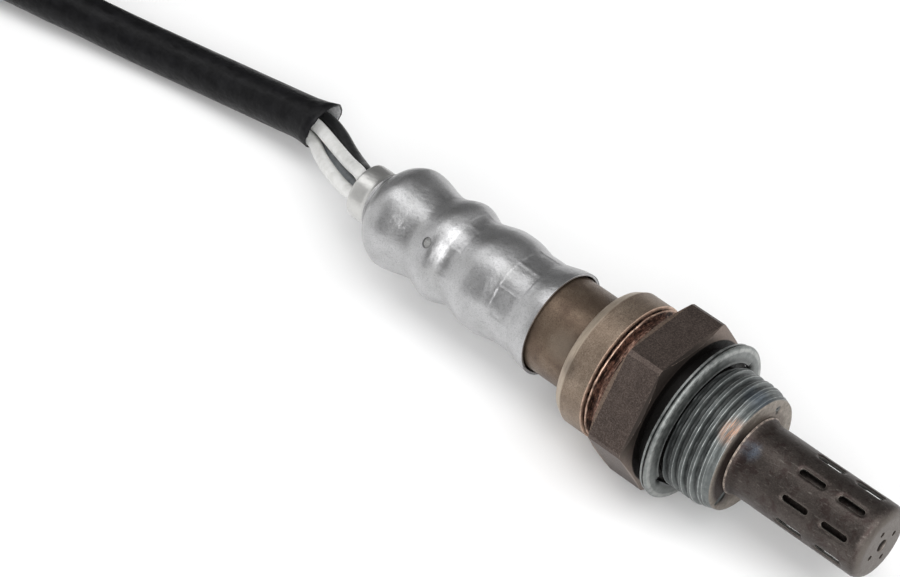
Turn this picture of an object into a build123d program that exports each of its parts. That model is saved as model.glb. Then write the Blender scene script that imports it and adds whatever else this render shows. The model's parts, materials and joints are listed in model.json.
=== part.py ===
from build123d import *
import os
from math import cos, degrees, hypot, radians, sin, tan

# Heated four-wire oxygen sensor, in millimetres, as it lies on a flat surface.
# The sensor's axis is X with the sensing tip towards +X, and Z is up.
# The origin is on that axis, in the plane of the hexagon's seating face.

FIT = 0.1                   # radial clearance of a piece that slides into another
SEAT = 0.03                 # clearance of a piece that is pressed or crimped in place

# Housing: M18 x 1.5 thread, 22 mm hexagon, and a skirt caulked over the sleeve's flange
THREAD_R = 9.0
PILOT_R = 9.3               # plain shank that centres the gasket
PILOT_LENGTH = 2.3
RELIEF_R = 8.1              # undercut between the pilot and the first thread
THREAD_START = 3.9
REACH = 10.65               # seat to the end face
RUNOUT = 2.6                # length of the tapered last threads
RUNOUT_R = 8.2
HEX_FLATS = 22.0
HEX_CORNER_R = 12.5         # corners are turned to this radius
HEX_LENGTH = 6.6
HEX_CHAMFER_ANGLE = 20.0    # from the plane of the hexagon's end face
HEX_FACE_R = 10.6           # where the chamfer meets the end face
HEX_ROLL = 54.7             # angle of one corner about the axis, from +Y
BUCKLE_LENGTH = 2.76        # thin wall between hexagon and skirt, upset when the skirt is caulked
BUCKLE_ROOT_R = 8.9
BUCKLE_BULGE = 0.5
RIDGE_HEIGHT = 0.95
RIDGE_WIDTH = 0.6
SKIRT_R = 10.06
SKIRT_LENGTH = 4.84
SKIRT_SHOULDER = 1.2        # length of the cone that turns in over the packing ring
SKIRT_SHOULDER_DROP = 0.66
SKIRT_WALL = 1.06
SKIRT_LIP = 1.0             # thickness of the turned-in lip
CERAMIC_R = 6.5
END_LIP = 2.65              # metal in front of the shield flanges

# Gasket: one strip of sheet folded to an S section
GASKET_WIDTH = 2.3          # from bore to rim
GASKET_LENGTH = 1.26
GASKET_OFFSET = 2.19        # from the seat, loose on the pilot
GASKET_SHEET = 0.3

# Protection tubes
SHIELD_R = 5.28
SHIELD_WALL = 0.45
SHIELD_LENGTH = 20.75       # beyond the housing's end face
SHIELD_EDGE_R = 0.95
SLOT_COUNT = 8
SLOT_LENGTH = 4.0
SLOT_WIDTH = 0.95
SLOT_ROWS = (8.15, 14.25)   # from the housing's end face to each row's near end
SLOT_ROLL = 11.85           # angle of the first slot about the axis
TIP_HOLE_R = 0.875
TIP_VENT_R = 0.4
TIP_VENT_CIRCLE_R = 2.4
TIP_VENT_ROLL = 6.1
INNER_SHIELD_R = 3.9
INNER_SHIELD_WALL = 0.4
INNER_SHIELD_GAP = 1.0      # between the two closed ends
INNER_HOLE_R = 0.7
INNER_HOLE_ROWS = (9.0, 14.5)

# Sensing element and what holds it
ELEMENT_WIDTH = 4.2
ELEMENT_THICKNESS = 1.4
ELEMENT_GAP = 0.05          # around the element in the ceramics
TALC_GAP = 0.02
TIP_CLEARANCE = 4.4         # from the element's tip to the outer shield's end
LOWER_CERAMIC_LENGTH = 6.5
TALC_LENGTH = 5.0
UPPER_CERAMIC_LENGTH = 6.2
DISC_SPRING_THICKNESS = 0.6
DISC_SPRING_R = 7.0
DISC_SPRING_BORE_R = 3.6

# Crimped outer sleeve: stations of its outer surface as (x, radius, slope)
SHEET = 0.4
TUBE_R = 7.1                # inner sleeve, which the outer one slides over
LIP_GAP = 0.25              # between the tube and the outer sleeve's lip
LIP_R = TUBE_R + LIP_GAP + SHEET
BULGE_R = LIP_R - 0.2
NECK_REAR_R = BULGE_R - 0.95
NECK_MIDDLE_R = BULGE_R - 0.87
NECK_FRONT_R = BULGE_R - 0.6
STUB_R = 4.08
NECK_REAR_X = -44.3
NECK_MIDDLE_X = -37.4
NECK_FRONT_X = (-28.1, -26.1)
BULGE_REAR_X = -49.6
BULGE_MIDDLE_X = -40.6
BULGE_FRONT_X = (-33.3, -31.3)
SHOULDER_LENGTH = 4.4       # from the rear bulge's crown to the stub
STUB_LENGTH = 3.6
SHOULDER_X = BULGE_REAR_X - SHOULDER_LENGTH
STUB_REAR = SHOULDER_X - STUB_LENGTH
LIP_X = -21.7
VENT_X = -41.3
VENT_ROLL = 134.0
VENT_R = 0.65
MEMBRANE = 0.3
MEMBRANE_X = (-44.6, -38.9)

# Inner sleeve
TUBE_REAR = -31.0
TUBE_NECK_START = -22.4
FLANGE_GAP = 0.1

# Contacts and their ceramic carrier
CLAMP_SHEET = 0.4
CARRIER_GAP = 0.12          # between the clamp and the inner sleeve's neck
CARRIER_R = NECK_FRONT_R - 2 * SHEET - SEAT - CARRIER_GAP - CLAMP_SHEET
CARRIER_X = (-37.2, -23.6)
CARRIER_CHANNEL = (4.7, 4.3)
CLAMP_X = (-29.6, -25.1)
CLAMP_OPENING = 60.0
ELEMENT_REAR = -32.2
CONTACT_WIDTH = 1.4
CONTACT_SHEET = 0.25
CONTACT_TOUCH_X = -30.4
CONTACT_FRONT = -28.9
BARREL_X = (-37.0, -33.6)
BARREL_R = 0.92
CONDUCTOR_R = 0.5

# Wires and their grommet
WIRE_R = 0.95
BUNDLE_R = 1.45             # from the bundle's centre to each wire's centre
BUNDLE_ROLL = 19.35         # angle of the first wire about the axis
WIRE_START = -37.4
GROMMET_FRONT = -38.7
WIRE_BEND_R = 9.5
WIRE_NAMES = ("wire_black", "wire_white_a", "wire_white_b", "wire_grey")

# Lead: a sleeve over the four wires, coiled and tied, with a four-way connector
GASKET_R = PILOT_R + FIT + GASKET_WIDTH
FLOOR = -GASKET_R           # the sensor rests on the rim of its gasket
LEAD_R = 3.3
MOUTH_R = 2.75
MOUTH_DEPTH = 9.5
MOUTH_FLARE = 0.45
MOUTH_FLARE_LENGTH = 5.5
LEAD_POINTS = [
    (-75.0, 8.3, -5.0),
    (-84.7, 7.8, -6.6),
    (-97.8, 6.5, -8.0),
    (-111.0, 4.3, -8.3),
]
COIL_CENTRE = (-161.0, 28.6)
COIL_R = 33.2
COIL_HEADING = 190.0        # direction of the lead where it joins the coil
COIL_STEP = 6.8             # rise from one turn to the next
COIL_ENTRY = 21.4           # straight length from the tube to the first turn
COIL_TURN = 550.0           # degrees from the first turn's start to the end of the second
COIL_RAMP = 50.0            # degrees over which the first turn climbs
COIL_CORNER_R = 2.9
LEAD_LAST_RUN = 10.0
TIE_WIDTH = 2.6
TIE_THICKNESS = 1.0
TIE_HEAD = (4.6, 5.2, 3.4)
TIE_ANGLES = (35.0, 125.0)
TAIL_RUNS = (13.5, 17.0, 9.0)

# Connector, in its own frame: x along the lead towards the mating face
BOOT_LENGTH = 8.5
BOOT_R = 4.5
BOOT_INSET = 1.5            # from the shell's sides to the boot's front
BOOT_CORNER_R = 3.4
BODY = (28.0, 16.4, 13.0)
BODY_EDGE = 1.6
CAVITY = (13.0, 13.6, 9.4)
CAVITY_CORNER_R = 1.2
SEAL_POCKET = (7.0, 13.0, 8.6)
SEAL_GAP = 0.15
LOCK_THICKNESS = 1.8
BLADE = (1.5, 0.8)
BLADE_PITCH = 3.4
BLADE_TIP = 5.5             # from the mating face
LATCH = (9.0, 5.0, 2.0)
LATCH_SETBACK = 3.0         # from the mating face
LATCH_SLOPE = 2.0
BURIED = 0.1                # how far a moulded feature starts inside the shell
RIB = (16.0, 0.6, 2.4)
RIB_SETBACK = 2.0

# Derived stations
SHIELD_TIP = REACH + SHIELD_LENGTH
SHOULDER_SEAT = REACH - END_LIP
OUTER_FLANGE = SHOULDER_SEAT - SHIELD_WALL
INNER_FLANGE = OUTER_FLANGE - INNER_SHIELD_WALL
LOWER_CERAMIC_REAR = INNER_FLANGE - LOWER_CERAMIC_LENGTH
TALC_REAR = LOWER_CERAMIC_REAR - TALC_LENGTH
UPPER_CERAMIC_REAR = TALC_REAR - UPPER_CERAMIC_LENGTH
TUBE_FRONT = UPPER_CERAMIC_REAR - DISC_SPRING_THICKNESS
SKIRT_FRONT = -HEX_LENGTH - BUCKLE_LENGTH
SKIRT_REAR = SKIRT_FRONT - SKIRT_LENGTH
SKIRT_BORE_R = SKIRT_R - SKIRT_WALL
LIP_BORE_R = TUBE_R + FIT
CERAMIC_BORE_R = CERAMIC_R + FIT
ELEMENT_ROLL = BUNDLE_ROLL - 45.0
BARREL_OFFSET = BUNDLE_R * sin(radians(45.0))
COIL_LOW_Z = FLOOR + TIE_THICKNESS + LEAD_R
COIL_HIGH_Z = COIL_LOW_Z + COIL_STEP
ENTRY_DIRECTION = Vector(cos(radians(COIL_HEADING)), sin(radians(COIL_HEADING)), 0)
ENTRY_SIDE = Vector(ENTRY_DIRECTION.Y, -ENTRY_DIRECTION.X, 0)
EXIT_DIRECTION = ENTRY_DIRECTION.rotate(Axis.Z, -COIL_TURN)
EXIT_SIDE = ENTRY_SIDE.rotate(Axis.Z, -COIL_TURN)
CONNECTOR_Z = FLOOR + BODY[2] / 2


def on_axis(x):
    """Plane across the sensor's axis at x, with its own y along Y and its z along +X."""
    return Plane(origin=(x, 0, 0), x_dir=(0, 1, 0), z_dir=(1, 0, 0))


def rod(x_rear, x_front, radius):
    """Cylinder about the axis between two stations."""
    return extrude(on_axis(x_rear) * Circle(radius), x_front - x_rear)


def turned(outline):
    """Solid of revolution about the axis, from closed (x, radius) edges in the XY plane."""
    return revolve(make_face(outline), axis=Axis.X)


def turned_points(*points):
    return turned(Polyline(*points, close=True))


def rolled(solid, angle):
    return Rot(angle, 0, 0) * solid


def bar(x_rear, x_front, width, height):
    """Rectangular bar along the axis, rolled with the element."""
    return rolled(extrude(on_axis(x_rear) * Rectangle(width, height), x_front - x_rear), ELEMENT_ROLL)


def sleeve_line(depth):
    """Line below the crimped sleeve's outer surface, from shoulder to lip."""
    stations = [
        (SHOULDER_X, STUB_R + 0.17, 0.6),
        (SHOULDER_X + 0.9, 0.5 * (STUB_R + BULGE_R) - 0.4, 1.7),
        (SHOULDER_X + 2.3, BULGE_R - 0.7, 0.6),
        (BULGE_REAR_X, BULGE_R, 0.0),
        (NECK_REAR_X, NECK_REAR_R, 0.0),
        (BULGE_MIDDLE_X, BULGE_R, 0.0),
        (NECK_MIDDLE_X, NECK_MIDDLE_R, 0.0),
        (BULGE_FRONT_X[0], BULGE_R - 0.04, 0.03),
        (BULGE_FRONT_X[1], BULGE_R - 0.09, -0.1),
        (NECK_FRONT_X[0], NECK_FRONT_R, 0.0),
        (NECK_FRONT_X[1], NECK_FRONT_R, 0.0),
        (LIP_X - 0.8, LIP_R - 0.05, 0.12),
        (LIP_X, LIP_R, 0.0),
    ]
    points = [(x, radius - depth * hypot(1, slope)) for x, radius, slope in stations]
    tangents = [(1, slope) for _, _, slope in stations]
    return Spline(*points, tangents=tangents)


def sleeve_core(depth, x_rear, x_front):
    """Solid that fills the crimped sleeve up to a depth below its outer surface."""
    line = sleeve_line(depth)
    under = Polyline(line @ 1, ((line @ 1).X, 0), ((line @ 0).X, 0), line @ 0)
    return turned(line + under) & rod(x_rear, x_front, LIP_R + 1)


def hex_blank():
    """Hexagon with both ends chamfered and its corners turned."""
    depth = (HEX_CORNER_R - HEX_FACE_R) * tan(radians(HEX_CHAMFER_ANGLE))
    across_corners = HEX_FLATS / (2 * cos(radians(30)))
    prism = extrude(on_axis(-HEX_LENGTH) * RegularPolygon(across_corners, 6), HEX_LENGTH)
    limit = turned_points(
        (0, 0), (0, HEX_FACE_R), (-depth, HEX_CORNER_R),
        (depth - HEX_LENGTH, HEX_CORNER_R), (-HEX_LENGTH, HEX_FACE_R), (-HEX_LENGTH, 0),
    )
    return rolled(prism, HEX_ROLL) & limit


def housing():
    """Thread, seat, hexagon, upset wall and caulked skirt, all one turned piece."""
    relief_rear = PILOT_LENGTH + 0.2
    relief_front = THREAD_START - (THREAD_R - RELIEF_R)
    thread = turned_points(
        (0, 0), (0, PILOT_R), (PILOT_LENGTH, PILOT_R), (relief_rear, RELIEF_R), (relief_front, RELIEF_R),
        (THREAD_START, THREAD_R), (REACH - RUNOUT, THREAD_R), (REACH, RUNOUT_R), (REACH, 0),
    )
    ridge_front = SKIRT_FRONT + RIDGE_WIDTH
    bulge_rear = ridge_front + 0.1
    upset = turned(
        Line((-HEX_LENGTH, BUCKLE_ROOT_R), (-HEX_LENGTH, 0))
        + Line((-HEX_LENGTH, 0), (SKIRT_FRONT, 0))
        + Line((SKIRT_FRONT, 0), (SKIRT_FRONT, BUCKLE_ROOT_R))
        + Line((SKIRT_FRONT, BUCKLE_ROOT_R), (SKIRT_FRONT + 0.1, BUCKLE_ROOT_R))
        + ThreePointArc(
            (SKIRT_FRONT + 0.1, BUCKLE_ROOT_R),
            (0.5 * (SKIRT_FRONT + 0.1 + ridge_front), BUCKLE_ROOT_R + RIDGE_HEIGHT),
            (ridge_front, BUCKLE_ROOT_R),
        )
        + Line((ridge_front, BUCKLE_ROOT_R), (bulge_rear, BUCKLE_ROOT_R))
        + ThreePointArc(
            (bulge_rear, BUCKLE_ROOT_R),
            (0.5 * (bulge_rear - HEX_LENGTH), BUCKLE_ROOT_R + BUCKLE_BULGE),
            (-HEX_LENGTH, BUCKLE_ROOT_R),
        )
    )
    skirt = turned_points(
        (SKIRT_FRONT, 0), (SKIRT_FRONT, SKIRT_R), (SKIRT_REAR + SKIRT_SHOULDER, SKIRT_R),
        (SKIRT_REAR, SKIRT_R - SKIRT_SHOULDER_DROP), (SKIRT_REAR, 0),
    )
    bore = turned_points(
        (REACH, 0), (REACH, SHIELD_R + FIT), (SHOULDER_SEAT, SHIELD_R + FIT),
        (SHOULDER_SEAT, CERAMIC_BORE_R), (UPPER_CERAMIC_REAR, CERAMIC_BORE_R),
        (UPPER_CERAMIC_REAR, DISC_SPRING_R + FIT), (TUBE_FRONT, DISC_SPRING_R + FIT),
        (TUBE_FRONT, SKIRT_BORE_R), (SKIRT_REAR + SKIRT_LIP, SKIRT_BORE_R),
        (SKIRT_REAR + SKIRT_LIP, LIP_BORE_R), (SKIRT_REAR, LIP_BORE_R), (SKIRT_REAR, 0),
    )
    return thread + hex_blank() + upset + skirt - bore


def gasket():
    """Strip folded twice: the front fold is the round outer rim."""
    half = GASKET_SHEET / 2
    front = GASKET_OFFSET + GASKET_LENGTH
    pitch = (GASKET_LENGTH - GASKET_SHEET) / 2
    middle = front - half - pitch
    inner_r = PILOT_R + FIT
    outer_bend = GASKET_R - half - pitch / 2
    inner_bend = inner_r + half + pitch / 2
    path = (
        Line((front - half, inner_r + 0.25), (front - half, outer_bend))
        + ThreePointArc(
            (front - half, outer_bend),
            (front - half - pitch / 2, outer_bend + pitch / 2),
            (middle, outer_bend),
        )
        + Line((middle, outer_bend), (middle, inner_bend))
        + ThreePointArc(
            (middle, inner_bend),
            (middle - pitch / 2, inner_bend - pitch / 2),
            (middle - pitch, inner_bend),
        )
        + Line((middle - pitch, inner_bend), (middle - pitch, GASKET_R - 0.3))
    )
    return revolve(trace(path, line_width=GASKET_SHEET), axis=Axis.X)


def slot_cutter(row_start, angle):
    slot = Plane.XY.offset(INNER_SHIELD_R + 0.2) * Pos(REACH + row_start + SLOT_LENGTH / 2, 0)
    cutter = extrude(slot * SlotOverall(SLOT_LENGTH, SLOT_WIDTH), SHIELD_R)
    return rolled(cutter, angle - 90)


def outer_shield():
    """Slotted tube with a closed, drilled end and a flange inside the housing."""
    inner_edge = SHIELD_EDGE_R - SHIELD_WALL
    bore_r = SHIELD_R - SHIELD_WALL
    outer = turned(
        Polyline(
            (SHIELD_TIP, 0), (SHIELD_TIP, SHIELD_R - SHIELD_EDGE_R),
        )
        + RadiusArc(
            (SHIELD_TIP, SHIELD_R - SHIELD_EDGE_R), (SHIELD_TIP - SHIELD_EDGE_R, SHIELD_R), -SHIELD_EDGE_R
        )
        + Polyline(
            (SHIELD_TIP - SHIELD_EDGE_R, SHIELD_R), (SHOULDER_SEAT, SHIELD_R),
            (SHOULDER_SEAT, CERAMIC_R), (OUTER_FLANGE, CERAMIC_R), (OUTER_FLANGE, bore_r),
            (SHIELD_TIP - SHIELD_EDGE_R, bore_r),
        )
        + RadiusArc(
            (SHIELD_TIP - SHIELD_EDGE_R, bore_r), (SHIELD_TIP - SHIELD_WALL, bore_r - inner_edge), inner_edge
        )
        + Polyline(
            (SHIELD_TIP - SHIELD_WALL, bore_r - inner_edge), (SHIELD_TIP - SHIELD_WALL, 0), (SHIELD_TIP, 0)
        )
    )
    for row_start in SLOT_ROWS:
        for i in range(SLOT_COUNT):
            outer -= slot_cutter(row_start, SLOT_ROLL + i * 360 / SLOT_COUNT)
    outer -= rod(SHIELD_TIP - 1, SHIELD_TIP + 1, TIP_HOLE_R)
    for i in range(4):
        angle = radians(TIP_VENT_ROLL + 90 * i)
        centre = Pos(0, TIP_VENT_CIRCLE_R * cos(angle), TIP_VENT_CIRCLE_R * sin(angle))
        outer -= centre * rod(SHIELD_TIP - 1, SHIELD_TIP + 1, TIP_VENT_R)
    return outer


def inner_shield():
    """Second tube inside the first, with its holes turned between the outer slots."""
    end = SHIELD_TIP - SHIELD_WALL - INNER_SHIELD_GAP
    bore_r = INNER_SHIELD_R - INNER_SHIELD_WALL
    tube = turned_points(
        (end, 0), (end, INNER_SHIELD_R), (OUTER_FLANGE, INNER_SHIELD_R),
        (OUTER_FLANGE, CERAMIC_R), (INNER_FLANGE, CERAMIC_R), (INNER_FLANGE, bore_r),
        (end - INNER_SHIELD_WALL, bore_r), (end - INNER_SHIELD_WALL, 0),
    )
    tube -= rod(end - 1, end + 1, TIP_HOLE_R)
    for row_start in INNER_HOLE_ROWS:
        for i in range(4):
            hole = Plane.XY * Pos(REACH + row_start, 0) * Circle(INNER_HOLE_R)
            angle = SLOT_ROLL + (2 * i + 0.5) * 360 / SLOT_COUNT
            tube -= rolled(extrude(hole, INNER_SHIELD_R + 1), angle - 90)
    return tube


def sensing_element():
    return bar(ELEMENT_REAR, SHIELD_TIP - TIP_CLEARANCE, ELEMENT_WIDTH, ELEMENT_THICKNESS)


def ceramic_disc(x_rear, x_front, gap):
    """Round block with the element's slot through it."""
    block = rod(x_rear, x_front, CERAMIC_R)
    return block - bar(x_rear - 1, x_front + 1, ELEMENT_WIDTH + 2 * gap, ELEMENT_THICKNESS + 2 * gap)


def disc_spring():
    return rod(TUBE_FRONT, UPPER_CERAMIC_REAR, DISC_SPRING_R) - rod(
        TUBE_FRONT, UPPER_CERAMIC_REAR, DISC_SPRING_BORE_R
    )


def inner_sleeve():
    """Flanged tube that necks in under the outer sleeve's front crimp."""
    neck_r = NECK_FRONT_R - SHEET - SEAT
    rear_r = TUBE_R - 0.25
    stations = [
        (TUBE_REAR, rear_r), (NECK_FRONT_X[0], neck_r), (NECK_FRONT_X[1], neck_r), (TUBE_NECK_START, TUBE_R)
    ]
    flange_rear = TUBE_FRONT - SHEET
    flange_r = SKIRT_BORE_R - FLANGE_GAP
    level = [(1, 0)] * len(stations)
    outside = Spline(*stations, tangents=level)
    inside = Spline(*[(x, r - SHEET) for x, r in stations], tangents=level)
    return turned(
        outside
        + inside
        + Line((TUBE_REAR, rear_r), (TUBE_REAR, rear_r - SHEET))
        + Polyline(
            (TUBE_NECK_START, TUBE_R - SHEET), (TUBE_FRONT, TUBE_R - SHEET), (TUBE_FRONT, flange_r),
            (flange_rear, flange_r), (flange_rear, TUBE_R), (TUBE_NECK_START, TUBE_R),
        )
    )


def packing_ring():
    rear = SKIRT_REAR + SKIRT_LIP
    front = TUBE_FRONT - SHEET
    return rod(rear, front, SKIRT_BORE_R - SEAT) - rod(rear, front, TUBE_R + SEAT)


def outer_sleeve():
    """Deep-drawn sleeve, crimped at three necks, with a collar for the wires and a vent hole."""
    outside = sleeve_line(0)
    inside = sleeve_line(SHEET)
    sleeve = turned(
        outside
        + inside
        + Line(outside @ 1, inside @ 1)
        + Polyline(
            outside @ 0, (SHOULDER_X, STUB_R), (STUB_REAR, STUB_R), (STUB_REAR, STUB_R - SHEET),
            (SHOULDER_X, STUB_R - SHEET), inside @ 0,
        )
    )
    vent = extrude(Plane.XY * Pos(VENT_X, 0) * Circle(VENT_R), LIP_R + 1)
    return sleeve - rolled(vent, VENT_ROLL - 90)


def vent_membrane():
    """Porous sleeve under the vent hole, which passes air and keeps water out."""
    return sleeve_core(SHEET + SEAT, *MEMBRANE_X) - sleeve_core(SHEET + SEAT + MEMBRANE, *MEMBRANE_X)


def bundle(start, radius, length):
    """Four straight round cutters along the axis, one for each wire."""
    places = PolarLocations(BUNDLE_R, 4, start_angle=BUNDLE_ROLL)
    return [extrude(on_axis(start) * place * Circle(radius), length) for place in places]


def wire_grommet():
    """Rubber plug that the rear and middle crimps squeeze onto the wires."""
    plug = sleeve_core(SHEET + SEAT, SHOULDER_X + 0.2, MEMBRANE_X[0] - FIT)
    plug += sleeve_core(SHEET + 2 * SEAT + MEMBRANE, MEMBRANE_X[0] - FIT, GROMMET_FRONT)
    plug += rod(STUB_REAR + 0.3, SHOULDER_X + 0.2, STUB_R - SHEET - SEAT)
    return plug - bundle(STUB_REAR, WIRE_R + SEAT / 2, GROMMET_FRONT - STUB_REAR + 1)


def carrier_half(side):
    """Half of the ceramic block that holds the contacts; side is 1 above the element, -1 below."""
    block = rod(*CARRIER_X, CARRIER_R)
    length = CARRIER_X[1] - CARRIER_X[0]
    channel = on_axis(CARRIER_X[0]) * Rectangle(*CARRIER_CHANNEL)
    block -= extrude(channel, length)
    groove = rod(*CLAMP_X, CARRIER_R + 1) - rod(*CLAMP_X, CARRIER_R - SEAT)
    half = Rectangle(4 * CARRIER_R, 2 * CARRIER_R)
    keep = extrude(on_axis(CARRIER_X[0]) * Pos(0, side * (CARRIER_R + SEAT)) * half, length)
    return rolled((block - groove) & keep, ELEMENT_ROLL)


def carrier_clamp():
    """Open spring ring round the two carrier halves."""
    ring = rod(*CLAMP_X, CARRIER_R + CLAMP_SHEET) - rod(*CLAMP_X, CARRIER_R)
    length = CLAMP_X[1] - CLAMP_X[0]
    reach = 2 * CARRIER_R
    spread = reach * tan(radians(CLAMP_OPENING / 2))
    wedge = on_axis(CLAMP_X[0]) * make_face(Polyline((0, 0), (reach, spread), (reach, -spread), close=True))
    return rolled(ring - extrude(wedge, length), ELEMENT_ROLL)


def contact(quadrant):
    """Leaf that presses on the element, with a barrel crimped on a wire's conductor."""
    touch = ELEMENT_THICKNESS / 2 + CONTACT_SHEET / 2 + SEAT
    leaf_line = Polyline(
        (BARREL_X[1] - 1, BARREL_OFFSET), (BARREL_X[1] + 0.8, BARREL_OFFSET),
        (CONTACT_TOUCH_X, touch), (CONTACT_FRONT, BARREL_OFFSET + 0.1),
    )
    leaf = extrude(Plane.XZ * trace(leaf_line, line_width=CONTACT_SHEET), CONTACT_WIDTH / 2, both=True)
    barrel = Pos(0, BARREL_OFFSET, BARREL_OFFSET) * (
        rod(*BARREL_X, BARREL_R) - rod(*BARREL_X, CONDUCTOR_R + SEAT)
    )
    bore = Pos(0, BARREL_OFFSET, BARREL_OFFSET) * rod(BARREL_X[0], BARREL_X[1] + 0.2, CONDUCTOR_R + SEAT)
    piece = barrel + Pos(0, BARREL_OFFSET, 0) * leaf - bore
    if quadrant in (1, 2):
        piece = mirror(piece, Plane.XZ)
    if quadrant in (2, 3):
        piece = mirror(piece, Plane.XY)
    return rolled(piece, ELEMENT_ROLL)


def arc_radii(points, share=0.45):
    """Largest tangent arcs that the runs on either side of each corner allow."""
    corners = [Vector(*p) for p in points]
    radii = []
    for before, corner, after in zip(corners, corners[1:], corners[2:]):
        turn = (corner - before).get_angle(after - corner)
        shorter = min((corner - before).length, (after - corner).length)
        radii.append(share * shorter / tan(radians(turn / 2)))
    return radii


def tube_along(points, radii, radius):
    """Round cord along straight runs joined by tangent arcs."""
    path = FilletPolyline(*points, radius=radii)
    start = Plane(origin=path @ 0, z_dir=path % 0)
    return sweep(start * Circle(radius), path=path), path


def lead_points():
    entry = coil_entry()
    last = entry - ENTRY_DIRECTION * LEAD_LAST_RUN
    return LEAD_POINTS + [tuple(last), tuple(entry)]


def coil_entry():
    """Where the tube ends and the coil's solid begins."""
    centre = Vector(*COIL_CENTRE, COIL_LOW_Z)
    return centre - ENTRY_SIDE * COIL_R - ENTRY_DIRECTION * COIL_ENTRY


def wire_centre_points():
    """Centre line of the four wires: out of the grommet, across to the sleeve and into its mouth."""
    mouth = Vector(*LEAD_POINTS[0])
    along = (mouth - Vector(*LEAD_POINTS[1])).normalized()
    return [
        (WIRE_START, 0, 0),
        (STUB_REAR - 2.7, 0, 0),
        tuple(mouth + along * 2.5),
        tuple(mouth - along * (MOUTH_DEPTH - FIT)),
    ]


def wire(index):
    """One insulated wire, its stripped end in a contact's barrel and its other end in the sleeve."""
    path = FilletPolyline(*wire_centre_points(), radius=[WIRE_BEND_R, WIRE_BEND_R])
    angle = radians(BUNDLE_ROLL + 90 * index)
    offset = (BUNDLE_R * cos(angle), BUNDLE_R * sin(angle))
    section = on_axis(WIRE_START) * Pos(*offset) * Circle(WIRE_R)
    insulated = sweep(section, path=path)
    conductor = Pos(0, *offset) * rod(WIRE_START, BARREL_X[1] - FIT, CONDUCTOR_R)
    return insulated + conductor


def lead_sleeve():
    """Sleeve from its flared open mouth to the coil."""
    points = lead_points()
    radii = arc_radii(points)
    tube, path = tube_along(points, radii, LEAD_R)
    mouth = Plane(origin=path @ 0, z_dir=path % 0)
    slope = degrees(MOUTH_FLARE / MOUTH_FLARE_LENGTH)
    flare = extrude(mouth * Circle(LEAD_R + MOUTH_FLARE), MOUTH_FLARE_LENGTH, taper=slope)
    tube += flare
    tube -= extrude(mouth * Circle(MOUTH_R), MOUTH_DEPTH)
    return tube, path, radii


def coil_section(height):
    """Rounded section of the coil's side, standing on the lowest level of its turns."""
    shape = RectangleRounded(2 * LEAD_R, height, COIL_CORNER_R)
    side = Plane(
        origin=(*COIL_CENTRE, COIL_LOW_Z - LEAD_R + height / 2),
        x_dir=tuple(-ENTRY_SIDE), z_dir=tuple(ENTRY_DIRECTION),
    )
    return side * Pos(COIL_R, 0) * shape


def lead_coil():
    """One closed solid of the coil: two turns high where they overlap, one turn elsewhere, and the entry."""
    upright = Axis((*COIL_CENTRE, 0), (0, 0, 1))
    overlap = COIL_TURN - 360 + COIL_RAMP
    high = revolve(coil_section(2 * LEAD_R + COIL_STEP), axis=upright, revolution_arc=overlap)
    low = revolve(coil_section(2 * LEAD_R), axis=upright, revolution_arc=360 - overlap)
    high = high.rotate(upright, -COIL_TURN)
    low = low.rotate(upright, overlap - COIL_TURN)
    entry = Plane(origin=tuple(coil_entry()), z_dir=tuple(ENTRY_DIRECTION))
    return high + low + extrude(entry * Circle(LEAD_R - SEAT), COIL_ENTRY)


def coil_tie(angle):
    """Cable tie round both turns, with its head on top."""
    inner_height = 2 * LEAD_R + COIL_STEP + 2 * SEAT
    inner_width = 2 * LEAD_R + 2 * SEAT
    level = COIL_LOW_Z - LEAD_R - SEAT
    outline = Pos(COIL_R, 0, level + inner_height / 2)
    outer = Box(inner_width + 2 * TIE_THICKNESS, TIE_WIDTH, inner_height + 2 * TIE_THICKNESS)
    outer = fillet(outer.edges().filter_by(Axis.Y), TIE_THICKNESS)
    band = outline * (outer - Box(inner_width, TIE_WIDTH, inner_height))
    top = level + inner_height
    head = Pos(COIL_R, 0, top) * Box(*TIE_HEAD, align=(Align.CENTER, Align.CENTER, Align.MIN))
    return Pos(*COIL_CENTRE, 0) * Rot(0, 0, COIL_HEADING - 90 + angle) * (band + head)


def tail_points():
    """From the end of the last turn down to the connector."""
    start = Vector(*COIL_CENTRE, COIL_HIGH_Z) - EXIT_SIDE * COIL_R
    along = EXIT_DIRECTION
    first, slope, last = TAIL_RUNS
    drop = Vector(0, 0, CONNECTOR_Z - COIL_HIGH_Z)
    return [
        tuple(start),
        tuple(start + along * first),
        tuple(start + along * (first + slope) + drop),
        tuple(start + along * (first + slope + last) + drop),
    ]


def connector_place():
    return Plane(origin=tail_points()[-1], x_dir=tuple(EXIT_DIRECTION), z_dir=(0, 0, 1))


def across(x):
    """Section plane of the connector at x in its own frame."""
    return Plane(origin=(x, 0, 0), x_dir=(0, 1, 0), z_dir=(1, 0, 0))


def connector_boot():
    """Tapered cover over the wires behind the connector."""
    rear = across(0) * Circle(BOOT_R)
    width, height = (size - 2 * BOOT_INSET for size in BODY[1:])
    front = across(BOOT_LENGTH) * RectangleRounded(width, height, BOOT_CORNER_R)
    return loft([rear, front])


def blade_places():
    return [(i - 1.5) * BLADE_PITCH for i in range(4)]


def blade_holes(start, length, gap):
    opening = Rectangle(BLADE[0] + 2 * gap, BLADE[1] + 2 * gap)
    return [extrude(across(start) * Pos(y, 0) * opening, length) for y in blade_places()]


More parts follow.
